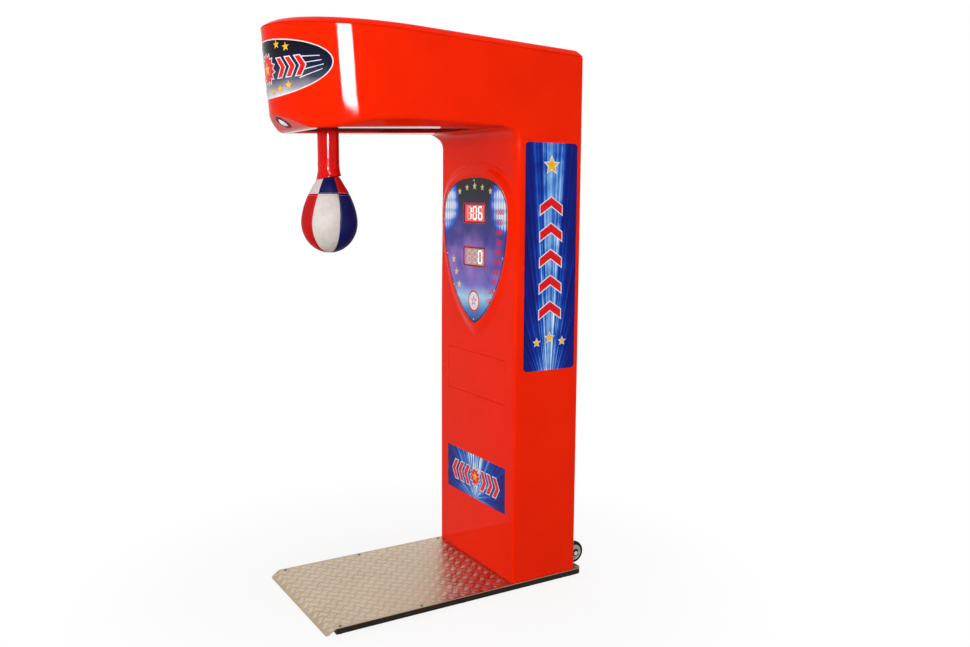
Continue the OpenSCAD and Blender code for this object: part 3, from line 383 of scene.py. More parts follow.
# A prism on a closed outline, from depth low to depth high; toWorld turns (across, up, depth) arrays into
# places. Its faces are turned over where the outline, the depth or toWorld runs the other way round.
def prism(outline, low, high, toWorld):
    outline = np.asarray(outline, float)
    n = len(outline)
    rings = [toWorld(outline[:, 0], outline[:, 1], np.full(n, depth)) for depth in (low, high)]
    faces = gridFaces(2, n, closeColumns=True)[:, ::-1].tolist() + [list(range(n))[::-1], list(range(n, 2 * n))]
    x, y = outline.T
    area = np.sum(x * np.roll(y, -1) - np.roll(x, -1) * y)
    axes = toWorld(*np.eye(4)[1:])
    if area * (high - low) * np.linalg.det(axes[1:] - axes[0]) < 0:
        faces = [face[::-1] for face in faces]
    return np.concatenate(rings), faces


# Outlines in mm: a rectangle with round corners, one with sharp corners, and a circle
def roundRectangle(width, height, radius, centre=(0.0, 0.0)):
    angle = np.linspace(0, math.pi / 2, 9)
    corners = []
    for k, (sx, sy) in enumerate(((1, 1), (-1, 1), (-1, -1), (1, -1))):
        turn = angle + k * math.pi / 2
        corners.append(np.stack([sx * (width / 2 - radius) + radius * np.cos(turn),
                                 sy * (height / 2 - radius) + radius * np.sin(turn)], axis=1))
    return np.concatenate(corners) + np.array(centre)


def boxOutline(left, low, right, high):
    return np.array([(left, low), (right, low), (right, high), (left, high)], float)


def circleOutline(radius, steps=48):
    angle = np.arange(steps) * 2 * math.pi / steps
    return np.stack([radius * np.cos(angle), radius * np.sin(angle)], axis=1)


def standing(x, z, y):  # an outline in x and z, with its depth along y
    return np.stack([x, y, z], axis=1) * mm


def lying(x, y, z):  # an outline in x and y, with its depth upwards
    return np.stack([x, y, z], axis=1) * mm


# Places on the chin face, from the middle of the spotlight's rim
def onChin(x, up, out):
    angle = math.radians(bodyForm["chinAngle"])
    y = bodyForm["chinY"] - (bodyForm["spotUp"] + up) * math.cos(angle) - out * math.sin(angle)
    z = bodyForm["chinZ"] + (bodyForm["spotUp"] + up) * math.sin(angle) - out * math.cos(angle)
    return np.stack([x, y, z], axis=1) * mm


# Several (points, faces) as one
def joinParts(parts):
    verts, faces, start = [], [], 0
    for partVerts, partFaces in parts:
        verts.append(partVerts)
        faces += [[start + k for k in f] for f in partFaces]
        start += len(partVerts)
    return np.concatenate(verts), faces


# The grid's stretches: finer where the surface curves. The body's openings: outline, depths, plane.
bodyGrid = dict(across=([(-316, 3.5), (-240, 10), (240, 3.5)], 316),
                along=([(-658, 4), (-480, 9), (150, 5), (262, 18), (530, 3)], 556),
                upward=([(-38, 24), (1780, 5), (1826, 3.5), (1900, 9), (2120, 12)], 2216))
bodyCuts = {"serviceDoor": (boxOutline(-200, 180, 200, 1500), 535, 560, standing),
            "coinCover": (boxOutline(-237, 757, 237, 942), 230, 250, standing),
            "headFloor": (roundRectangle(300, 650, 30, centre=(0, -175)), 1774, 1924, lying),
            "spotlight": (circleOutline(27), -14, 12, onChin),
            "mainsInlet": (boxOutline(57, 97, 123, 123), 535, 560, standing)}


# The body: its surface from the formula, cut flat at the seam and at its foot, given a wall, then opened
def buildBody():
    b = bodyForm
    points, quads = netSurface(bodyDistance, [gridLines(*stretches) for stretches in bodyGrid.values()])
    body = meshPiece("bodyShell", points * mm, quads, redGelcoat)
    form = bmesh.new()
    form.from_mesh(body.data)
    slope = math.radians(b["seamSlope"])
    for place, normal in (((0, b["rear"] * mm, (b["seamRear"] - b["seamGap"]) * mm),
                           (0, math.sin(slope), math.cos(slope))), ((0, 0, b["low"] * mm), (0, 0, -1))):
        bmesh.ops.bisect_plane(form, geom=form.verts[:] + form.edges[:] + form.faces[:], plane_co=place,
                               plane_no=normal, clear_outer=True, dist=1e-6)
    form.to_mesh(body.data)
    form.free()
    shell = body.modifiers.new("wall", "SOLIDIFY")
    shell.thickness = b["wall"] * mm
    shell.offset = -1.0
    holes = joinParts([prism(*cut) for cut in bodyCuts.values()])
    cutter = meshPiece("bodyHoles", *holes, redGelcoat, body=None, smooth=False)
    faceOutwards(cutter)
    cut = body.modifiers.new("holes", "BOOLEAN")
    cut.operation, cut.object, cut.solver = "DIFFERENCE", cutter, "MANIFOLD"
    applyModifiers(body)
    bpy.data.objects.remove(cutter)
    smoothBody(body)
    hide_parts("body_shell")
    return body


# The outside takes its normals from the formula, everything else from its own faces
def smoothBody(body):
    mesh = body.data
    places = readArray(mesh.vertices, "co", 3) / mm
    outside = np.abs(bodyDistance(*places.T)) < 0.3
    slope = gradientOf(bodyDistance, places)
    slope /= np.maximum(np.linalg.norm(slope, axis=1), 1e-9)[:, None]
    corner = readArray(mesh.loops, "vertex_index", kind=np.int32)
    starts, totals = (readArray(mesh.polygons, key, kind=np.int32) for key in ("loop_start", "loop_total"))
    faceNormal = readArray(mesh.polygons, "normal", 3)
    owner = np.repeat(np.arange(len(starts)), totals)
    allOut = np.bincount(owner, outside[corner], len(starts)) == totals
    facing = (np.add.reduceat(slope[corner], starts, axis=0) * faceNormal).sum(1) > 0.8 * totals
    smooth = (allOut & facing)[owner]
    normals = np.where(smooth[:, None], slope[corner], faceNormal[owner])
    mesh.polygons.foreach_set("use_smooth", np.ones(len(starts), dtype=bool))
    mesh.normals_split_custom_set(normals.tolist())
    mesh.update()


bodyShell = buildBody()
print("body made:", len(bodyShell.data.polygons), "faces")


# Lid of the head: heights are above the seam, runs are how far each edge of the bevel goes in
lidForm = dict(foot=0.9, groove=2.6, grooveDeep=3.0, skirt=3.05, top=26.0, sideRun=21.0, noseRun=44.0,
               rearRun=24.0, swell=0.13, cornerRadius=12.0, noseSteps=97, sideSteps=12)


# A closed outline at a height h above the seam: the wall's plan drawn inwards, with round rear corners
def lidContour(h, side, nose, rear):
    b = bodyForm
    lean, slope = math.radians(b["lean"]), math.radians(b["seamSlope"])
    count = lidForm["sideSteps"]
    turn = np.linspace(-math.pi / 2, math.pi / 2, lidForm["noseSteps"])
    x = (b["half"] - side) * np.sin(turn)
    plan = nose + (b["noseDepth"] - side) * (1 - np.cos(turn))
    rise = (h / math.cos(slope) - plan * (math.sin(lean) + math.cos(lean) * math.tan(slope))) / (
        math.cos(lean) - math.sin(lean) * math.tan(slope))
    y = b["noseFront"] + plan * math.cos(lean) - rise * math.sin(lean)
    r = lidForm["cornerRadius"]
    back = b["rear"] - rear
    corner = np.linspace(0, math.pi / 2, 8)
    straight = np.linspace(y[-1], back - r, count + 2)[1:-1]
    cornerX, cornerY = b["half"] - side - r + r * np.cos(corner), back - r + r * np.sin(corner)
    edge = np.full(count, b["half"] - side)
    x = np.concatenate([x, edge, cornerX, -cornerX[::-1], -edge])
    y = np.concatenate([y, straight, cornerY, cornerY[::-1], straight[::-1]])
    return np.stack([x, y, seamHeight(y) + h / math.cos(slope)], axis=1)


# The lid's rings from its foot up: seam groove, skirt, slightly swollen bevel, flat top
def buildLid():
    f = lidForm
    height, deep = f["top"] - f["skirt"], f["grooveDeep"]
    rows = [(f["foot"], deep, deep, deep), (f["groove"], deep, deep, deep), (f["groove"] + 0.15, 0.3, 0.3, 0.3),
            (f["groove"] + 0.4, 0.0, 0.0, 0.0)]
    for t in np.linspace(0, 1, 10):
        rise = f["skirt"] + height * (t + f["swell"] * math.sin(math.pi * t)) - 0.4 * (t == 1)
        rows.append((rise, f["sideRun"] * t, f["noseRun"] * t, f["rearRun"] * t))
    rows += [(f["top"] + 0.05, f["sideRun"] + 4, f["noseRun"] + 5, f["rearRun"] + 4)]
    rings = [lidContour(*row) for row in rows]
    n = len(rings[0])
    faces = gridFaces(len(rows), n, closeColumns=True)[:, ::-1].tolist()
    last = (len(rows) - 1) * n
    nose = f["noseSteps"] // 2
    for k in range(n // 2):  # both flat ends are strips that join mirrored points of the ring
        left, right = (nose - k - 1) % n, (nose + k + 1) % n
        strip = [(nose + k) % n, right, left] + ([(nose - k) % n] if k else [])
        faces += [strip[::-1], [last + v for v in strip]]
    lid = meshPiece("headLid", np.concatenate(rings) * mm, faces, redGelcoat)
    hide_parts("head_lid")


buildLid()
print("lid made")


# Raised pad round the display
shieldForm = dict(half=256.0, low=1071.0, mid=1501.0, top=1676.0, rows=44, face=228.0, recess=231.6,
                  gap=0.4, rim=12.0, flank=26.0, fall=46.0, sunk=1.5)


# Half the shield: below the widest place half width times (1 - (1 - u)^2)^0.7, above it times
# (1 - (1 - v)^3)^0.42, then the same mirrored
def shieldOutline(grow=0.0, rise=0.0):
    s = shieldForm
    u = np.linspace(0, 1, s["rows"]) ** 1.6
    v = (1 - np.linspace(0, 1, s["rows"])[1:]) ** 1.8
    x = np.concatenate([(1 - (1 - u) ** 2) ** 0.7, (1 - (1 - v) ** 3) ** 0.42]) * (s["half"] + grow)
    z = np.concatenate([s["low"] - rise + u * (s["mid"] - s["low"] + rise),
                        s["top"] + rise - v * (s["top"] - s["mid"] + rise)])
    return np.stack([np.concatenate([x, -x[-2:0:-1]]), np.concatenate([z, z[-2:0:-1]])], axis=1)


# The pad is one profile carried round the shield: recess, rim with a soft edge, and an S-shaped flank
def buildPad():
    s = shieldForm
    gap, depth = s["gap"], bodyForm["front"] - s["face"]
    rows = [(gap, gap, s["recess"] - s["face"]), (gap, gap, 0.7), (0.7, 0.7, 0.2), (1.4, 1.4, 0.0)]
    rows.append((s["rim"] - 4, s["rim"] - 4, 0.0))
    for t in np.linspace(0, 1, 15)[1:]:
        drop = depth * (t * t * (3 - 2 * t)) ** 0.9
        rows.append((s["rim"] - 3 + (s["flank"] + 3) * t, s["rim"] - 3 + (s["fall"] + 3) * t, drop))
    rows += [(s["rim"] + s["flank"], s["rim"] + s["fall"], depth + s["sunk"]), (gap, gap, depth + s["sunk"])]
    rings = []
    for grow, rise, drop in rows:
        edge = shieldOutline(grow, rise)
        rings.append(np.stack([edge[:, 0], np.full(len(edge), s["face"] + drop), edge[:, 1]], axis=1))
    faces = gridFaces(len(rows), len(rings[0]), closeRows=True, closeColumns=True)
    meshPiece("displayPad", np.concatenate(rings) * mm, faces, redGelcoat)


buildPad()
print("pad made")


# The points and faces of a filled curve; the curve's object goes
def fillCurve(curve):
    holder = bpy.data.objects.new("holder", curve)
    bpy.context.scene.collection.objects.link(holder)
    graph = bpy.context.evaluated_depsgraph_get()
    graph.update()
    mesh = bpy.data.meshes.new_from_object(holder.evaluated_get(graph))
    bpy.data.objects.remove(holder)
    return takeMesh(mesh)


# Flat outlines in mm, filled by Blender's curve filler with the inner ones as holes
def cutShape(outlines, thickness=0.0):
    curve = bpy.data.curves.new("cutShape", "CURVE")
    curve.dimensions, curve.fill_mode, curve.extrude = "2D", "BOTH", thickness / 2
    for outline in outlines:
        outline = np.asarray(outline, float)
        spline = curve.splines.new("POLY")
        spline.points.add(len(outline) - 1)
        rest = np.tile([0.0, 1.0], (len(outline), 1))
        spline.points.foreach_set("co", np.hstack([outline, rest]).ravel())
        spline.use_cyclic_u = True
    return fillCurve(curve)


# A number for the scale: digits only
def cutNumber(number, height, centre):
    text = bpy.data.curves.new("cutNumber", "FONT")
    text.body, text.size = str(number), height / 0.7
    text.align_x, text.align_y = "CENTER", "CENTER"
    text.offset = height / 40  # a bolder face
    verts, faces = fillCurve(text)
    return verts + np.array([centre[0], centre[1], 0.0]), faces


# Cuts the faces small enough to follow a curved wall
def cutFine(verts, faces, longest):
    mesh = bpy.data.meshes.new("cutFine")
    mesh.from_pydata(np.asarray(verts).tolist(), [], faces)
    form = bmesh.new()
    form.from_mesh(mesh)
    bmesh.ops.remove_doubles(form, verts=form.verts[:], dist=1e-4)
    bmesh.ops.triangulate(form, faces=form.faces[:])
    for _ in range(6):
        edges = [edge for edge in form.edges if edge.calc_length() > longest]
        if not edges:
            break
        bmesh.ops.subdivide_edges(form, edges=edges, cuts=1)
        bmesh.ops.triangulate(form, faces=form.faces[:])
    form.to_mesh(mesh)
    form.free()
    return takeMesh(mesh)


# A star: its points at radius, its inner corners at a share of it
def starOutline(x, z, radius, points=5, inner=0.42):
    angle = math.pi / 2 + np.arange(2 * points) * math.pi / points
    reach = np.where(np.arange(2 * points) % 2 == 0, radius, inner * radius)
    return np.stack([x + reach * np.cos(angle), z + reach * np.sin(angle)], axis=1)


# A chevron that points up at turn 0: width across, height of its arms' ends below the point, bar thickness
def chevronOutline(x, z, width, drop, bar, grow=0.0, turn=0.0):
    half, sharp = width / 2 + grow, math.hypot(drop, width / 2) / (width / 2)
    slope = drop / (width / 2)
    top, low = bar / 2 + grow * sharp, -bar / 2 - grow * sharp
    points = np.array([(0, top), (half, top - slope * half), (half, low - slope * half), (0, low),
                       (-half, low - slope * half), (-half, top - slope * half)]) + [0, drop / 2]
    angle = math.radians(turn)
    across = points[:, 0] * math.cos(angle) - points[:, 1] * math.sin(angle)
    up = points[:, 0] * math.sin(angle) + points[:, 1] * math.cos(angle)
    return np.stack([x + across, z + up], axis=1)


def ovalOutline(x, z, halfAcross, halfUp, steps):
    return circleOutline(1.0, steps) * [halfAcross, halfUp] + [x, z]


# Lays flat shapes on a face of the machine; toWorld turns (across, up, out) arrays into places
def printPiece(name, shapes, toWorld, out, material):
    verts, faces = joinParts(shapes)
    places = toWorld(verts[:, 0], verts[:, 1], np.full(len(verts), out) + verts[:, 2])
    return meshPiece(name, places, faces, material, smooth=False)


def onFront(x, z, out):  # on the column front
    return np.stack([x, bodyForm["front"] - out, z], axis=1) * mm


def onPanel(x, z, out):  # on the display panel
    return np.stack([x, shieldForm["face"] - out, z], axis=1) * mm


def onRight(y, z, out):  # on the column's right side
    return np.stack([bodyForm["half"] + out, y, z], axis=1) * mm


def onLeft(y, z, out):  # across runs to the front here, so that a shape reads the same from outside
    return np.stack([-bodyForm["half"] - out, 2 * sideFilm["middle"] - y, z], axis=1) * mm


# A turned piece: rows of (radius, height) carried round an axis, where a first or last radius of 0 closes
# it, and shaded smooth where its faces meet at less than the sharp angle
def turned(name, rows, toWorld, material, body="cabinet"):
    steps, sharp = 64, math.radians(38.0)
    rows, angle = np.asarray(rows, float), np.arange(steps) * 2 * math.pi / steps
    x, y = rows[:, :1] * np.cos(angle), rows[:, :1] * np.sin(angle)
    z = np.repeat(rows[:, 1:2], steps, axis=1)
    faces = gridFaces(len(rows), steps, closeColumns=True)[:, ::-1].tolist()
    piece = meshPiece(name, toWorld(x.ravel(), y.ravel(), z.ravel()), faces, material, body)
    form = bmesh.new()
    form.from_mesh(piece.data)
    bmesh.ops.remove_doubles(form, verts=form.verts[:], dist=1e-6)
    bmesh.ops.recalc_face_normals(form, faces=form.faces[:])
    for edge in form.edges:
        edge.smooth = len(edge.link_faces) == 2 and edge.calc_face_angle(0.0) < sharp
    form.to_mesh(piece.data)
    form.free()
    return piece


# Printed vinyl film under a clear gloss laminate: one flat ink, with a trace of ink density
inkTones = {"goldFilmInk": ("#E8A800", "#FFC83A"), "redFilmInk": ("#D80D18", "#E61A22"),
            "paleFilmInk": ("#DCDCE6", "#ECECF2"), "darkFilmInk": ("#14151F", "#1C1E2C"),
            "paleGoldInk": ("#D8BE7C", "#EBDCA8")}
goldInk, redInk, paleInk, darkInk, dullGoldInk = (
    tonedMaterial(name, tones, 22.0, reach=(0.35, 0.7), Roughness=0.22, Specular_IOR_Level=0.12)
    for name, tones in inkTones.items())


rayStops = [(0.02, "#060B4E"), (0.18, "#0B1F86"), (0.38, "#1C55BE"), (0.62, "#7FB6EA"), (0.88, "#F2F7FF")]


# Blue film with a fan of pale light rays: noise along the angle round a focus makes the rays, a noise
# in the plane breaks them up, and the distance from the middle line sets how bright they are
def rayFilm(name, plane, focus, glowWidth, rayCount, seed=0.0):
    made, tree, shader, place = newMaterial(name, Roughness=0.2, Specular_IOR_Level=0.08)
    parts = addNode(tree, "SeparateXYZ", {"Vector": place})
    across = addNode(tree, "Math", {0: parts.outputs[plane], 1: focus[0] * mm}, operation="SUBTRACT").outputs[0]
    up = addNode(tree, "Math", {0: parts.outputs["Z"], 1: focus[1] * mm}, operation="SUBTRACT").outputs[0]
    angle = addNode(tree, "Math", {0: across, 1: up}, operation="ARCTAN2").outputs[0]
    turn = addNode(tree, "CombineXYZ", {"X": angle, "Y": seed})
    rays = addNode(tree, "TexNoise", {"Vector": turn.outputs[0], "Scale": rayCount, "Detail": 2.5,
                                      "Roughness": 0.6})
    cloud = addNode(tree, "TexNoise", {"Vector": place, "Scale": 1 / (85.0 * mm), "Detail": 3.0})
    aside = addNode(tree, "Math", {0: across, 1: 1 / (glowWidth * mm)}, operation="MULTIPLY").outputs[0]
    square = addNode(tree, "Math", {0: aside, 1: aside}, operation="MULTIPLY").outputs[0]
    fall = addNode(tree, "Math", {0: square, 1: 1.0}, operation="ADD").outputs[0]
    glow = addNode(tree, "Math", {0: 1.0, 1: fall}, operation="DIVIDE").outputs[0]
    sharp = addNode(tree, "MapRange", {"Value": rays.outputs["Fac"], "From Min": 0.38, "From Max": 0.72,
                                       "To Min": 0.1, "To Max": 1.15}).outputs[0]
    broken = addNode(tree, "MapRange", {"Value": cloud.outputs["Fac"], "From Min": 0.3, "From Max": 0.7,
                                        "To Min": 0.55, "To Max": 1.2}).outputs[0]
    light = addNode(tree, "Math", {0: sharp, 1: broken}, operation="MULTIPLY").outputs[0]
    light = addNode(tree, "Math", {0: light, 1: glow}, operation="MULTIPLY").outputs[0]
    light = addNode(tree, "Math", {0: glow, 1: 0.15, 2: light}, operation="MULTIPLY_ADD").outputs[0]
    colour = addNode(tree, "ValToRGB", {"Fac": light}, stops=rayStops)
    tree.links.new(colour.outputs["Color"], shader.inputs["Base Color"])
    return made


# Films on the column's sides
sideFilm = dict(middle=401.5, focusZ=760.0, glow=52.0, rays=30.0, chevrons=5, firstZ=1148.0, pitch=104.0,
                width=104.0, drop=34.0, bar=34.0, edge=4.0,
                stars=((0, 1722, 34), (-62, 1018, 17), (0, 1034, 22), (62, 1018, 17)))  # across, up, radius


# Five chevrons between stars, with pale rims, on both sides
def buildSideFilms():
    f = sideFilm
    film = rayFilm("blueRayFilm", "Y", (f["middle"], f["focusZ"]), f["glow"], f["rays"])
    for node in ("side_decal_right", "side_decal_left"):
        dressNode(node, film)
    marks, rims, gold, goldRims = [], [], [], []
    for k in range(f["chevrons"]):
        place = (f["middle"], f["firstZ"] + k * f["pitch"], f["width"], f["drop"], f["bar"])
        marks.append(chevronOutline(*place))
        rims.append(chevronOutline(*place, grow=f["edge"]))
    for x, z, r in f["stars"]:
        gold.append(starOutline(f["middle"] + x, z, r))
        goldRims.append(starOutline(f["middle"] + x, z, r * 1.22, inner=0.46))
    for side, place in (("Right", onRight), ("Left", onLeft)):
        printPiece("sidePale" + side, [cutShape(rims), cutShape(goldRims)], place, 0.62, paleInk)
        printPiece("sideChevrons" + side, [cutShape(marks)], place, 0.76, redInk)
        printPiece("sideStars" + side, [cutShape(gold)], place, 0.76, goldInk)


frontFilm = dict(middleZ=397.0, focusZ=300.0, glow=120.0, rays=22.0, chevrons=(69, 120, 171), width=84.0,
                 drop=26.0, bar=25.0, edge=3.5, badge=(48, 42, 24))


# A star badge between chevrons that point away from it
def buildFrontFilm():
    f = frontFilm
    film = rayFilm("blueFrontFilm", "X", (0.0, f["focusZ"]), f["glow"], f["rays"], seed=3.7)
    dressNode("front_decal", film)
    marks, rims, gold = [], [], []
    for x in [-reach for reach in f["chevrons"][::-1]] + list(f["chevrons"]):
        place = (x, f["middleZ"] - 4, f["width"], f["drop"], f["bar"])
        turn = 90.0 if x < 0 else -90.0
        marks.append(chevronOutline(*place, turn=turn))
        rims.append(chevronOutline(*place, grow=f["edge"], turn=turn))
    outer, middle, inner = f["badge"]
    rims.append(starOutline(0, f["middleZ"], outer, points=12, inner=0.7))
    marks.append(starOutline(0, f["middleZ"], middle, points=12, inner=0.7))
    gold.append(starOutline(0, f["middleZ"], inner))
    printPiece("frontPale", [cutShape(rims)], onFront, 0.62, paleInk)
    printPiece("frontChevrons", [cutShape(marks)], onFront, 0.76, redInk)
    printPiece("frontStar", [cutShape(gold)], onFront, 0.9, goldInk)


# Gives a CAD solid one material
def dressNode(node, material):
    mesh = bpy.data.objects[node].data
    mesh.materials.clear()
    mesh.materials.append(material)
    mesh.polygons.foreach_set("material_index", np.zeros(len(mesh.polygons), dtype=np.int32))


buildSideFilms()
buildFrontFilm()
print("films laid on the column")


# Film on the nose
signForm = dict(halfAcross=297.0, halfUp=101.5, middleZ=2045.5, rise=18.0, shade=(1946.0, 2146.0),
                lift=0.4, edge=4.0, badge=(62, 55, 27), chevronAt=92, chevronPitch=42,
                chevron=(66.0, 20.0, 20.0), rim=3.5, lines=4, lineIn=168, lineOut=262, starRadius=16.5,
                stars=((78, 78), (122, 66), (36, -79), (78, -74), (120, -64)))


# Places on the leaning nose wall: s is the distance along the wall from its middle, at a height z
def onNose(s, z, out):
    b = bodyForm
    lean = math.radians(b["lean"])
    turn = np.linspace(0, math.pi / 2, 600)
    planX, planY = b["half"] * np.sin(turn), b["noseDepth"] * (1 - np.cos(turn))
    arc = np.concatenate([[0], np.cumsum(np.hypot(np.diff(planX), np.diff(planY)))])
    t = np.interp(np.abs(s), arc, turn)
    x = np.sign(s) * b["half"] * np.sin(t)
    along = b["noseDepth"] * (1 - np.cos(t))
    y = b["noseFront"] + (along - (z - seamHeight(b["noseFront"])) * math.sin(lean)) / math.cos(lean)
    points = np.stack([x, y, z], axis=1)
    slope = gradientOf(wallDistance, points)
    slope /= np.linalg.norm(slope, axis=1)[:, None]
    return (points + slope * np.reshape(out, (-1, 1))) * mm


# Printed film with a dark upper part that turns into a pale grey-lilac floor of light
def signFilmMaterial():
    made, tree, shader, place = newMaterial("darkSignFilm", Roughness=0.16, Specular_IOR_Level=0.1)
    parts = addNode(tree, "SeparateXYZ", {"Vector": place})
    cloud = addNode(tree, "TexNoise", {"Vector": place, "Scale": 1 / (60.0 * mm), "Detail": 3.0})
    low, high = signForm["shade"]
    height = addNode(tree, "MapRange", {"Value": parts.outputs["Z"], "From Min": low * mm,
                                        "From Max": high * mm}).outputs[0]
    mixed = addNode(tree, "Math", {0: cloud.outputs["Fac"], 1: 0.16, 2: height}, operation="MULTIPLY_ADD")
    colour = addNode(tree, "ValToRGB", {"Fac": mixed.outputs[0]},
                     stops=[(0.1, "#D9D6DC"), (0.26, "#8E8A9A"), (0.42, "#3E4052"), (0.6, "#141A3A"),
                            (0.95, "#0A0C16")])
    tree.links.new(colour.outputs["Color"], shader.inputs["Base Color"])
    return made


# A print on the nose: it bends up a little towards both ends
def onNosePiece(name, outlines, out, material, longest=7.0):
    verts, faces = cutFine(*cutShape(outlines), longest)
    rise = signForm["rise"] * (verts[:, 0] / signForm["halfAcross"]) ** 2
    return meshPiece(name, onNose(verts[:, 0], verts[:, 1] + rise, np.full(len(verts), out)), faces, material)


# The oval film with its ring, speed lines, a star badge, chevrons that point outwards, and stars
def buildSign():
    f = signForm
    mid = f["middleZ"]
    oval = ovalOutline(0, mid, f["halfAcross"], f["halfUp"], 160)
    film = onNosePiece("noseFilm", [oval], f["lift"], signFilmMaterial(), 12.0)
    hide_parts("head_sign")
    inside = ovalOutline(0, mid, f["halfAcross"] - f["edge"], f["halfUp"] - f["edge"], 160)
    onNosePiece("noseRing", [oval, inside], 0.55, paleInk, 9.0)
    streaks = []
    for side in (-1, 1):
        for k in range(f["lines"]):
            start, end = mid - 46 + 24 * k, mid - 24 + 15 * k
            near, far = side * f["lineIn"], side * (f["lineOut"] - 6 * abs(k - 1))
            streaks.append(np.array([(near, start), (far, end), (far, end + 2.2), (near, start + 3.6)]))
    onNosePiece("noseLines", streaks, 0.6, paleInk)
    outer, middle, inner = f["badge"]
    rims = [starOutline(0, mid, outer, points=14, inner=0.74)]
    marks = [starOutline(0, mid, middle, points=14, inner=0.74)]
    for side in (-1, 1):
        for k in range(3):
            place = (side * (f["chevronAt"] + f["chevronPitch"] * k), mid - 2, *f["chevron"])
            marks.append(chevronOutline(*place, turn=-90.0 * side))
            rims.append(chevronOutline(*place, grow=f["rim"], turn=-90.0 * side))
    onNosePiece("noseRims", rims, 0.75, paleInk)
    onNosePiece("noseChevrons", marks, 0.95, redInk)
    gold = [starOutline(0, mid, inner)]
    for s, z in f["stars"]:
        gold += [starOutline(side * s, mid + z, f["starRadius"]) for side in (-1, 1)]
    onNosePiece("noseStars", gold, 1.15, goldInk)


buildSign()
print("film laid on the nose")


# Display panel with its two score windows and a scale of numbers
displayForm = dict(windowHigh=1531.0, windowLow=1350.0, halfWide=84.0, halfHigh=36.0, digitHigh=50.0,
                   digitWide=27.0, digitPitch=44.0, segment=7.0, segmentGap=0.7, scaleX=201.0, scaleTop=1537.0,
                   scaleStep=40.3, scaleDigit=21.0, scaleIn=80.0, discZ=1164.0, disc=38.0, ring=45.0,
                   starArc=(62, 4, 1642, 5.2, 16), starRow=(-171, 24, 1332, 53, 19), sheet=3.2,
                   blockGap=0.1, blockDeep=25.6)
panelPrint = dict(cloud=110.0, haze=150.0, hazeShift=(0.31, 0.0, 0.17), lampX=245.0, lampZ=1565.0,
                  cellWide=19.0, cellHigh=44.0)


